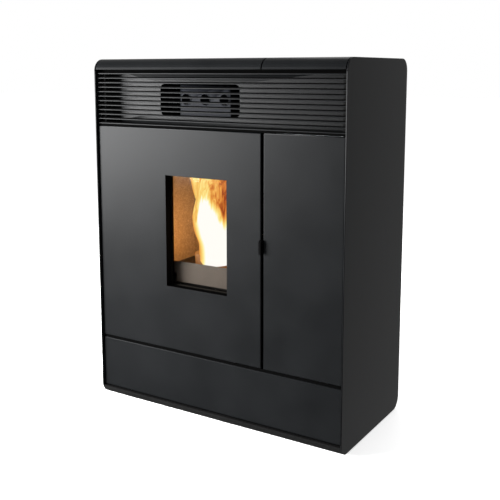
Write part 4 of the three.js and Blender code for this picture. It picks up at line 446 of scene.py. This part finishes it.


# ---------------------------------------------------------------- back plate of the grille
# The sheet behind the slats, with the rounded aperture for the warm air, in a lighter and glossier copy of
# the casing's paint, clouded in patches about 120 mm across: painted light that stands in for the light the
# slats keep off it.
backplate_paint_with_painted_light, tree = start_material("grey_coat_with_painted_light")
coords = add_node(tree, "ShaderNodeTexCoord")
satin_cloud = add_node(tree, "ShaderNodeTexNoise", Vector=coords.outputs["Object"], Scale=1 / 0.12,
                       Detail=3.0)
backplate_painted_light_tone = add_node(tree, "ShaderNodeValToRGB", Fac=satin_cloud.outputs["Fac"])
backplate_painted_light_tone.color_ramp.elements[0].color = linear("#0E0F10")
backplate_painted_light_tone.color_ramp.elements[1].color = linear("#131415")
satin_skin = add_node(tree, "ShaderNodeBsdfPrincipled", Base_Color=backplate_painted_light_tone.outputs[0], Roughness=0.38,
                      IOR=1.17)
add_node(tree, "ShaderNodeOutputMaterial", Surface=satin_skin.outputs[0])
smooth_copy("grille_backplate", "casing", backplate_paint_with_painted_light)


# ---------------------------------------------------------------- heat exchanger
# A welded smoke box with three air tubes through it, in steel plate that the heat has blued
# and dulled with scale; the mouths of the tubes show dark behind the top grille.
blued, tree = start_material("heat_blued_steel")
coords = add_node(tree, "ShaderNodeTexCoord")
# Stains of heat are about 40 mm across.
stain = add_node(tree, "ShaderNodeTexNoise", Vector=coords.outputs["Object"], Scale=1 / 0.04, Detail=4.0)
blued_tone = add_node(tree, "ShaderNodeValToRGB", Fac=stain.outputs["Fac"])
blued_tone.color_ramp.elements[0].color = linear("#1B1C20")
blued_tone.color_ramp.elements[1].color = linear("#26282D")
blued_gloss = add_node(tree, "ShaderNodeMapRange", Value=stain.outputs["Fac"], To_Min=0.40, To_Max=0.60)
blued_skin = add_node(tree, "ShaderNodeBsdfPrincipled", Base_Color=blued_tone.outputs[0], IOR=1.12,
                      Roughness=blued_gloss.outputs[0])
add_node(tree, "ShaderNodeOutputMaterial", Surface=blued_skin.outputs[0])
smooth_copy("heat_exchanger", "casing", blued)


# ---------------------------------------------------------------- door glass and seals
# Clear glass ceramic, 4 mm thick, bedded on braided glass-fibre rope and held in the door
# frame by a screwed retainer; a thicker rope seals the frame against the firebox.
glass, tree = start_material("clear_glass_ceramic")
coords = add_node(tree, "ShaderNodeTexCoord")
# A thin film changes the gloss in patches about 110 mm across.
film = add_node(tree, "ShaderNodeTexNoise", Vector=coords.outputs["Object"], Scale=1 / 0.11, Detail=3.0)
film_gloss = add_node(tree, "ShaderNodeMapRange", Value=film.outputs["Fac"], To_Min=0.05, To_Max=0.12)
clear = add_node(tree, "ShaderNodeBsdfTransparent", Color=linear("#FAF8F5"))
shine = add_node(tree, "ShaderNodeBsdfGlossy", Color=linear("#FFFFFF"), Roughness=film_gloss.outputs[0])
rim_view = add_node(tree, "ShaderNodeFresnel", IOR=1.04)
glass_mix = add_node(tree, "ShaderNodeMixShader", i0=rim_view.outputs[0], i1=clear.outputs[0],
                     i2=shine.outputs[0])
add_node(tree, "ShaderNodeOutputMaterial", Surface=glass_mix.outputs[0])
dress("door_glass", glass)

braid, tree = start_material("braided_glass_rope")
coords = add_node(tree, "ShaderNodeTexCoord")
turned = add_node(tree, "ShaderNodeMapping", Vector=coords.outputs["Object"], Rotation=(0.0, 0.8, 0.0))
# A strand of the braid is about 2 mm wide; a wave's scale counts its bands per pi / 10 metres.
strands = add_node(tree, "ShaderNodeTexWave", Vector=turned.outputs[0], Scale=math.pi / (10 * 0.002),
                   Distortion=1.5)
rope_tone = add_node(tree, "ShaderNodeValToRGB", Fac=strands.outputs["Fac"])
rope_tone.color_ramp.elements[0].color = linear("#0A0A09")
rope_tone.color_ramp.elements[1].color = linear("#181716")
rope_bump = add_node(tree, "ShaderNodeBump", Height=strands.outputs["Fac"], Strength=0.6, Distance=0.0008)
rope_skin = add_node(tree, "ShaderNodeBsdfPrincipled", Base_Color=rope_tone.outputs[0], Roughness=0.95,
                     IOR=1.1, Normal=rope_bump.outputs[0])
add_node(tree, "ShaderNodeOutputMaterial", Surface=rope_skin.outputs[0])
for name in ("glass_seal", "door_rope_seal"):
    dress(name, braid)

retainer_low, retainer_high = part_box("glass_retainer")
retainer_half = 0.006
grow("glass_retainer_screws", screw_rows, screw_inputs, "door", "steel",
     Across=retainer_high.x - retainer_low.x - 2 * retainer_half,
     Up=retainer_high.z - retainer_low.z - 2 * retainer_half,
     Count_Across=3, Count_Up=4, Washer_Radius=0.0042, Head_Radius=0.0031, Head_Height=0.0022, Finish=steel,
     Middle=((retainer_low.x + retainer_high.x) / 2, retainer_high.y + washer_height / 2,
             (retainer_low.z + retainer_high.z) / 2))


# ---------------------------------------------------------------- door handle
# A flat steel lever on a pin behind the door; only its tab shows, in the gap beside the panel.
# It is painted black and rubbed a little brighter in patches about 11 mm across.
handle_paint, tree = start_material("rubbed_black_paint")
coords = add_node(tree, "ShaderNodeTexCoord")
rub = add_node(tree, "ShaderNodeTexNoise", Vector=coords.outputs["Object"], Scale=1 / 0.011, Detail=4.0)
handle_tone = add_node(tree, "ShaderNodeValToRGB", Fac=rub.outputs["Fac"])
handle_tone.color_ramp.elements[0].color = linear("#030303")
handle_tone.color_ramp.elements[1].color = linear("#070707")
handle_skin = add_node(tree, "ShaderNodeBsdfPrincipled", Base_Color=handle_tone.outputs[0], Roughness=0.4,
                       IOR=1.04)
add_node(tree, "ShaderNodeOutputMaterial", Surface=handle_skin.outputs[0])
dress("door_handle", handle_paint)


# ---------------------------------------------------------------- fire linings
# Slabs of pressed mineral board that stand loose in the firebox: buff, slightly crumbly, with
# pale flakes about 4 mm across, and browned by the fire.
board, tree = start_material("pressed_mineral_board")
coords = add_node(tree, "ShaderNodeTexCoord")
flakes = add_node(tree, "ShaderNodeTexVoronoi", Vector=coords.outputs["Object"], Scale=1 / 0.004)
# Its grain is about 17 mm across.
grain = add_node(tree, "ShaderNodeTexNoise", Vector=coords.outputs["Object"], Scale=1 / 0.017, Detail=5.0)
board_mix = add_node(tree, "ShaderNodeMath", {"operation": "MULTIPLY"},
                     i0=flakes.outputs["Distance"], i1=grain.outputs["Fac"])
board_tone = add_node(tree, "ShaderNodeValToRGB", Fac=board_mix.outputs[0])
board_tone.color_ramp.elements[0].color = linear("#7E6D58")
board_tone.color_ramp.elements[1].position = 0.6
board_tone.color_ramp.elements[1].color = linear("#AE9C82")
board_bump = add_node(tree, "ShaderNodeBump", Height=grain.outputs["Fac"], Strength=0.3, Distance=0.0006)
board_skin = add_node(tree, "ShaderNodeBsdfPrincipled", Base_Color=board_tone.outputs[0], Roughness=0.95,
                      Normal=board_bump.outputs[0])
add_node(tree, "ShaderNodeOutputMaterial", Surface=board_skin.outputs[0])
for name in ("liner_left", "liner_right", "liner_back"):
    dress(name, board)


# ---------------------------------------------------------------- castings in the fire
# Hearth plate with its upright lip, and burn pot: grey iron, sand-cast, with a fine
# pebbled skin and a light film of ash.
iron, tree = start_material("sand_cast_iron")
coords = add_node(tree, "ShaderNodeTexCoord")
# Sand leaves pebbles about 2.4 mm across; the film of ash lies in patches of some 55 mm.
sand = add_node(tree, "ShaderNodeTexNoise", Vector=coords.outputs["Object"], Scale=1 / 0.0024, Detail=3.0)
ash = add_node(tree, "ShaderNodeTexNoise", Vector=coords.outputs["Object"], Scale=1 / 0.055, Detail=4.0)
iron_tone = add_node(tree, "ShaderNodeValToRGB", Fac=ash.outputs["Fac"])
iron_tone.color_ramp.elements[0].color = linear("#282523")
iron_tone.color_ramp.elements[1].color = linear("#36322F")
iron_bump = add_node(tree, "ShaderNodeBump", Height=sand.outputs["Fac"], Strength=0.4, Distance=0.0004)
iron_skin = add_node(tree, "ShaderNodeBsdfPrincipled", Base_Color=iron_tone.outputs[0], IOR=1.2,
                     Roughness=0.7, Normal=iron_bump.outputs[0])
add_node(tree, "ShaderNodeOutputMaterial", Surface=iron_skin.outputs[0])
dress("hearth_plate", iron)

# Painted firelight: the pot's rim glows a dull brown orange, which fades out 80 mm down.
pot_low, pot_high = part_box("burn_pot")
pot_x, pot_y, pot_rim = (pot_low.x + pot_high.x) / 2, (pot_low.y + pot_high.y) / 2, pot_high.z
iron_with_painted_firelight, tree = start_material("cast_iron_painted_firelight")
coords = add_node(tree, "ShaderNodeTexCoord")
# The painted glow is mottled in patches about 12 mm across.
firelight_mottle = add_node(tree, "ShaderNodeTexNoise", Vector=coords.outputs["Object"], Scale=1 / 0.012, Detail=4.0)
upright = add_node(tree, "ShaderNodeSeparateXYZ", Vector=coords.outputs["Object"])
firelight_fade = add_node(tree, "ShaderNodeMapRange", Value=upright.outputs[2], From_Min=pot_rim - 0.08,
                   From_Max=pot_rim, To_Min=0.0, To_Max=1.0)
firelight_tone = add_node(tree, "ShaderNodeValToRGB", Fac=firelight_mottle.outputs["Fac"])
firelight_tone.color_ramp.elements[0].color = linear("#9C6434")
firelight_tone.color_ramp.elements[1].color = linear("#B87A40")
firelight_skin = add_node(tree, "ShaderNodeBsdfPrincipled", Base_Color=linear("#282523"), Roughness=0.8, IOR=1.2,
                    Emission_Color=firelight_tone.outputs[0], Emission_Strength=firelight_fade.outputs[0])
add_node(tree, "ShaderNodeOutputMaterial", Surface=firelight_skin.outputs[0])
smooth_copy("burn_pot", "casing", iron_with_painted_firelight)

# A thin apron with no solid in the CAD stands in front of the hearth plate, from a little over
# its top down over the rim of the ash pan, and closes the view under the plate.
hearth_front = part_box("hearth_plate")[0].y
apron_left, apron_right, apron_foot, apron_top = -0.163, 0.048, 0.424, 0.4898
apron_out, apron_in = 0.0016, 0.0004
add_boxes("hearth_apron", [((apron_left, hearth_front - apron_out, apron_foot),
                            (apron_right, hearth_front - apron_in, apron_top))],
          "casing", iron)


# ---------------------------------------------------------------- lid strip, inlet and switch
# A strip of silicone under the lid, and black moulded plastic for the appliance inlet and its
# rocker.
silicone, tree = start_material("black_silicone")
coords = add_node(tree, "ShaderNodeTexCoord")
# Specks of dust are about 5 mm across.
dust = add_node(tree, "ShaderNodeTexNoise", Vector=coords.outputs["Object"], Scale=1 / 0.005, Detail=3.0)
silicone_tone = add_node(tree, "ShaderNodeValToRGB", Fac=dust.outputs["Fac"])
silicone_tone.color_ramp.elements[0].color = linear("#0C0C0C")
silicone_tone.color_ramp.elements[1].color = linear("#151515")
silicone_skin = add_node(tree, "ShaderNodeBsdfPrincipled", Base_Color=silicone_tone.outputs[0],
                         Roughness=0.8, IOR=1.12)
add_node(tree, "ShaderNodeOutputMaterial", Surface=silicone_skin.outputs[0])
dress("lid_seal", silicone)

moulded, tree = start_material("black_moulded_plastic")
coords = add_node(tree, "ShaderNodeTexCoord")
# Spark erosion of the mould leaves a grain of about 0.7 mm.
spark = add_node(tree, "ShaderNodeTexNoise", Vector=coords.outputs["Object"], Scale=1 / 0.0007, Detail=2.0)
moulded_tone = add_node(tree, "ShaderNodeValToRGB", Fac=spark.outputs["Fac"])
moulded_tone.color_ramp.elements[0].color = linear("#191A1B")
moulded_tone.color_ramp.elements[1].color = linear("#222325")
moulded_bump = add_node(tree, "ShaderNodeBump", Height=spark.outputs["Fac"], Strength=0.2,
                        Distance=0.0001)
moulded_skin = add_node(tree, "ShaderNodeBsdfPrincipled", Base_Color=moulded_tone.outputs[0],
                        Roughness=0.5, Normal=moulded_bump.outputs[0])
add_node(tree, "ShaderNodeOutputMaterial", Surface=moulded_skin.outputs[0])
for name in ("power_inlet", "power_switch"):
    dress(name, moulded)


# ---------------------------------------------------------------- burning pellets
# Wood pellets, 6 mm thick and pressed to short rods, lie in a heap in the burn pot and glow from
# dull red to yellow.
ember, tree = start_material("glowing_wood_pellets")
coords = add_node(tree, "ShaderNodeTexCoord")
# Char is as patchy as a pellet is thick.
char = add_node(tree, "ShaderNodeTexNoise", Vector=coords.outputs["Object"], Scale=1 / 0.006, Detail=3.0)
ember_tone = add_node(tree, "ShaderNodeValToRGB", Fac=char.outputs["Fac"])
ember_tone.color_ramp.elements[0].position = 0.38
ember_tone.color_ramp.elements[0].color = linear("#7A2408")
ember_tone.color_ramp.elements[1].position = 0.62
ember_tone.color_ramp.elements[1].color = linear("#FFC46A")
ember_skin = add_node(tree, "ShaderNodeBsdfPrincipled", Base_Color=linear("#6E625A"), Roughness=0.9,
                      Emission_Color=ember_tone.outputs[0], Emission_Strength=0.9)
add_node(tree, "ShaderNodeOutputMaterial", Surface=ember_skin.outputs[0])

heap = bpy.data.node_groups.new("pellet_heap", "GeometryNodeTree")
heap.interface.new_socket("Pellets", in_out="OUTPUT", socket_type="NodeSocketGeometry")
heap_inputs = {}
for name, kind, value in (("Bed Radius", "NodeSocketFloat", 0.035), ("Bed Depth", "NodeSocketFloat", 0.02),
                          ("Pellets per Square Metre", "NodeSocketFloat", 22000.0),
                          ("Pellet Radius", "NodeSocketFloat", 0.003),
                          ("Pellet Length", "NodeSocketFloat", 0.015),
                          ("Middle", "NodeSocketVector", (0.0, 0.0, 0.0)),
                          ("Finish", "NodeSocketMaterial", None)):
    socket = heap.interface.new_socket(name, in_out="INPUT", socket_type=kind)
    if value is not None:
        socket.default_value = value
    heap_inputs[name] = socket.identifier
given = add_node(heap, "NodeGroupInput")
bed = add_node(heap, "GeometryNodeMeshCircle", {"fill_type": "NGON"}, Vertices=24,
               Radius=given.outputs["Bed Radius"])
strewn = add_node(heap, "GeometryNodeDistributePointsOnFaces", Mesh=bed.outputs[0],
                  Density=given.outputs["Pellets per Square Metre"], Seed=11)
depth = add_node(heap, "FunctionNodeRandomValue", {"data_type": "FLOAT"}, Seed=3)
depth_z = add_node(heap, "ShaderNodeMath", {"operation": "MULTIPLY"},
                   i0=depth.outputs[1], i1=given.outputs["Bed Depth"])
down = add_node(heap, "ShaderNodeCombineXYZ")
heap.links.new(depth_z.outputs[0], down.inputs[2])
settled = add_node(heap, "GeometryNodeSetPosition", Geometry=strewn.outputs[0], Offset=down.outputs[0])
pellet = add_node(heap, "GeometryNodeMeshCylinder", Vertices=8, Radius=given.outputs["Pellet Radius"],
                  Depth=given.outputs["Pellet Length"])
tilt = add_node(heap, "FunctionNodeRandomValue", {"data_type": "FLOAT_VECTOR"}, Seed=5)
tilt.inputs[0].default_value = (1.1, -0.3, 0.0)
tilt.inputs[1].default_value = (1.9, 0.3, 6.28)
rods = add_node(heap, "GeometryNodeInstanceOnPoints", Points=settled.outputs[0],
                Instance=pellet.outputs[0], Rotation=tilt.outputs[0])
placed = add_node(heap, "GeometryNodeTransform", Geometry=rods.outputs[0],
                  Translation=given.outputs["Middle"])
real = add_node(heap, "GeometryNodeRealizeInstances", Geometry=placed.outputs[0])
finished = add_node(heap, "GeometryNodeSetMaterial", Geometry=real.outputs[0],
                    Material=given.outputs["Finish"])
out = add_node(heap, "NodeGroupOutput")
heap.links.new(finished.outputs[0], out.inputs[0])
bed_under_rim = 0.034
grow("burning_pellets", heap, heap_inputs, "casing", "vermiculite", Finish=ember,
     Middle=(pot_x, pot_y, pot_rim - bed_under_rim))


# ---------------------------------------------------------------- flames
# Closed tongues of flame that rise from the pot, lick over its rim and lean as they climb to
# the baffle. They are white at the heart, then yellow, and orange in wisps at the edges.
flame_skin, tree = start_material("pellet_flame")
coords = add_node(tree, "ShaderNodeTexCoord")
# Across runs at right angles to the line from the photograph's camera to the pot, and is fixed in
# the stove, so the flame's colours don't turn with the view.
across_x, across_y, half_field, field_under_rim, field_over_rim = 0.822, 0.57, 0.10, 0.03, 0.27
pot_sideways = across_x * pot_x + across_y * pot_y
field_low = (pot_sideways - half_field, pot_rim - field_under_rim)
field_high = (pot_sideways + half_field, pot_rim + field_over_rim)
along = add_node(tree, "ShaderNodeSeparateXYZ", Vector=coords.outputs["Object"])
sideways = add_node(tree, "ShaderNodeVectorMath", {"operation": "DOT_PRODUCT"},
                    i0=coords.outputs["Object"], i1=(across_x, across_y, 0.0))
across = add_node(tree, "ShaderNodeMapRange", Value=sideways.outputs["Value"], From_Min=field_low[0],
                  From_Max=field_high[0])
upward = add_node(tree, "ShaderNodeMapRange", Value=along.outputs[2], From_Min=field_low[1],
                  From_Max=field_high[1])
# How high the white heart reaches and how hot the flame is round it, from left to right; and
# where the flame's left side runs, from bottom to top.
curve = {}
for name, value, points in (
        ("heart", across, [(0.0, 0.20), (0.25, 0.30), (0.31, 0.54), (0.37, 0.64), (0.44, 0.65),
                           (0.50, 0.60), (0.56, 0.56), (0.63, 0.51), (0.69, 0.46), (1.0, 0.38)]),
        ("warmth", across, [(0.0, 0.40), (0.25, 0.45), (0.37, 0.47), (0.44, 0.50), (0.50, 0.35),
                            (0.56, 0.30), (0.63, 0.20), (0.70, 0.11), (1.0, 0.05)]),
        ("left_side", upward, [(0.0, 0.32), (0.10, 0.325), (0.20, 0.31), (0.32, 0.25), (0.53, 0.20),
                               (0.70, 0.23), (0.83, 0.20), (0.92, 0.16), (1.0, 0.10)])):
    node = add_node(tree, "ShaderNodeFloatCurve", Value=value.outputs[0])
    line = node.mapping.curves[0]
    line.points[0].location = points[0]
    line.points[1].location = points[-1]
    for point in points[1:-1]:
        line.points.new(*point)
    node.mapping.update()
    curve[name] = node.outputs[0]
# Wisps are about 10 mm wide and 80 mm tall.
stretch = add_node(tree, "ShaderNodeMapping", Vector=coords.outputs["Object"], Scale=(95.0, 95.0, 12.0),
                   Rotation=(0.0, -0.10, 0.0))
wisps = add_node(tree, "ShaderNodeTexNoise", Vector=stretch.outputs[0], Scale=1.0, Detail=3.0,
                 Distortion=0.8)
wisp_shift = add_node(tree, "ShaderNodeMapRange", Value=wisps.outputs["Fac"], From_Min=0.3, From_Max=0.7,
                      To_Min=-0.20, To_Max=0.20)
under = add_node(tree, "ShaderNodeMath", {"operation": "SUBTRACT"}, i0=curve["heart"],
                 i1=upward.outputs[0])
white = add_node(tree, "ShaderNodeMapRange", {"interpolation_type": "SMOOTHSTEP"}, Value=under.outputs[0],
                 From_Min=-0.14, From_Max=0.14, To_Min=0.0, To_Max=0.95)
climb = add_node(tree, "ShaderNodeMath", {"operation": "ADD"}, i0=curve["warmth"], i1=white.outputs[0])
streaked = add_node(tree, "ShaderNodeMath", {"operation": "ADD"}, i0=climb.outputs[0],
                    i1=wisp_shift.outputs[0])
inside = add_node(tree, "ShaderNodeMath", {"operation": "SUBTRACT"}, i0=across.outputs[0],
                  i1=curve["left_side"])
rim_heat = add_node(tree, "ShaderNodeMapRange", Value=inside.outputs[0], From_Min=0.0, From_Max=0.13,
                    To_Min=0.26, To_Max=1.05)
heat = add_node(tree, "ShaderNodeMath", {"operation": "MINIMUM"}, i0=streaked.outputs[0],
                i1=rim_heat.outputs[0])
flame_tone = add_node(tree, "ShaderNodeValToRGB", Fac=heat.outputs[0])
ramp = flame_tone.color_ramp
ramp.elements[0].position, ramp.elements[0].color = 0.0, linear("#9A4520")
ramp.elements[1].position, ramp.elements[1].color = 0.84, linear("#FFFFFE")
for place, tint in ((0.14, "#D07A34"), (0.30, "#EBA650"), (0.46, "#F8D274"), (0.62, "#FCEE9C"),
                    (0.74, "#FEF9D2")):
    ramp.elements.new(place).color = linear(tint)
flame_glow = add_node(tree, "ShaderNodeEmission", Color=flame_tone.outputs[0], Strength=1.12)
add_node(tree, "ShaderNodeOutputMaterial", Surface=flame_glow.outputs[0])


def tongue(build, stations, phase, rings=36, sides=24):
    """A closed tongue through stations: height above the rim, middle x and y, half width, half depth."""
    last = None
    for i in range(rings + 1):
        t = i / rings * (len(stations) - 1)
        k = min(int(t), len(stations) - 2)
        f = t - k
        f = f * f * (3 - 2 * f)
        z, x, y, wide, deep = (a + (b - a) * f for a, b in zip(stations[k], stations[k + 1]))
        ring = []
        for j in range(sides):
            a = 2 * math.pi * j / sides
            ripple = 1 + 0.05 * math.sin(3 * a + phase + 30 * z) + 0.03 * math.sin(5 * a - 55 * z)
            ring.append(build.verts.new((pot_x + x + math.cos(a) * wide * ripple,
                                         pot_y + y + math.sin(a) * deep * ripple, pot_rim + z)))
        if last:
            for j in range(sides):
                m = (j + 1) % sides
                build.faces.new((last[j], last[m], ring[m], ring[j])).smooth = True
        else:
            build.faces.new(list(reversed(ring)))
        last = ring
    build.faces.new(last)


flame_build = bmesh.new()
tongue(flame_build, [(-0.030, 0.026, -0.012, 0.048, 0.044), (-0.018, 0.026, -0.012, 0.053, 0.049),
                     (0.002, 0.024, -0.010, 0.054, 0.047), (0.028, 0.013, -0.003, 0.052, 0.040),
                     (0.068, 0.008, 0.0, 0.062, 0.040), (0.116, 0.004, 0.0, 0.069, 0.040),
                     (0.166, 0.009, 0.0, 0.060, 0.038), (0.205, 0.004, 0.0, 0.050, 0.032),
                     (0.236, -0.004, 0.0, 0.030, 0.022), (0.256, -0.010, 0.0, 0.004, 0.004)], 0.4)
tongue(flame_build, [(0.120, -0.014, 0.004, 0.020, 0.020), (0.160, -0.026, 0.004, 0.026, 0.024),
                     (0.195, -0.038, 0.003, 0.027, 0.022), (0.225, -0.046, 0.0, 0.025, 0.018),
                     (0.248, -0.060, -0.002, 0.021, 0.012), (0.262, -0.080, -0.002, 0.004, 0.004)], 1.9)
tongue(flame_build, [(0.130, -0.004, 0.0, 0.030, 0.026), (0.180, -0.010, 0.0, 0.036, 0.026),
                     (0.220, -0.018, 0.0, 0.030, 0.022), (0.248, -0.026, 0.0, 0.019, 0.014),
                     (0.263, -0.030, 0.0, 0.002, 0.002)], 3.3)
tongue(flame_build, [(0.110, 0.030, 0.002, 0.034, 0.028), (0.170, 0.032, 0.002, 0.034, 0.026),
                     (0.214, 0.030, 0.0, 0.027, 0.020), (0.246, 0.022, 0.0, 0.017, 0.013),
                     (0.263, 0.016, 0.0, 0.002, 0.002)], 4.6)
tongue(flame_build, [(0.080, 0.058, 0.0, 0.028, 0.026), (0.140, 0.060, 0.0, 0.030, 0.026),
                     (0.190, 0.062, 0.002, 0.025, 0.020), (0.232, 0.062, 0.004, 0.019, 0.014),
                     (0.260, 0.056, 0.004, 0.002, 0.002)], 5.8)
flame_mesh = bpy.data.meshes.new("flames")
flame_build.to_mesh(flame_mesh)
flame_build.free()
flame_mesh.materials.append(flame_skin)
flames = bpy.data.objects.new("flames", flame_mesh)
scene.collection.objects.link(flames)
flames.visible_shadow = False
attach(flames, "casing")

# The glow of the fire on the boards and the castings round it.
for name, off_x, off_y, over_rim, power, radius in (("fire_glow", 0.0, -0.02, 0.10, 0.88, 0.035),
                                                    ("ember_glow", 0.0, 0.0, 0.03, 0.55, 0.03),
                                                    ("side_glow", -0.085, -0.035, 0.025, 0.2, 0.02)):
    glow = bpy.data.objects.new(name, bpy.data.lights.new(name, "POINT"))
    glow.data.energy = power
    glow.data.shadow_soft_size = radius
    glow.data.color = linear("#FFB35C")[:3]
    glow.location = (pot_x + off_x, pot_y + off_y, pot_rim + over_rim)
    scene.collection.objects.link(glow)
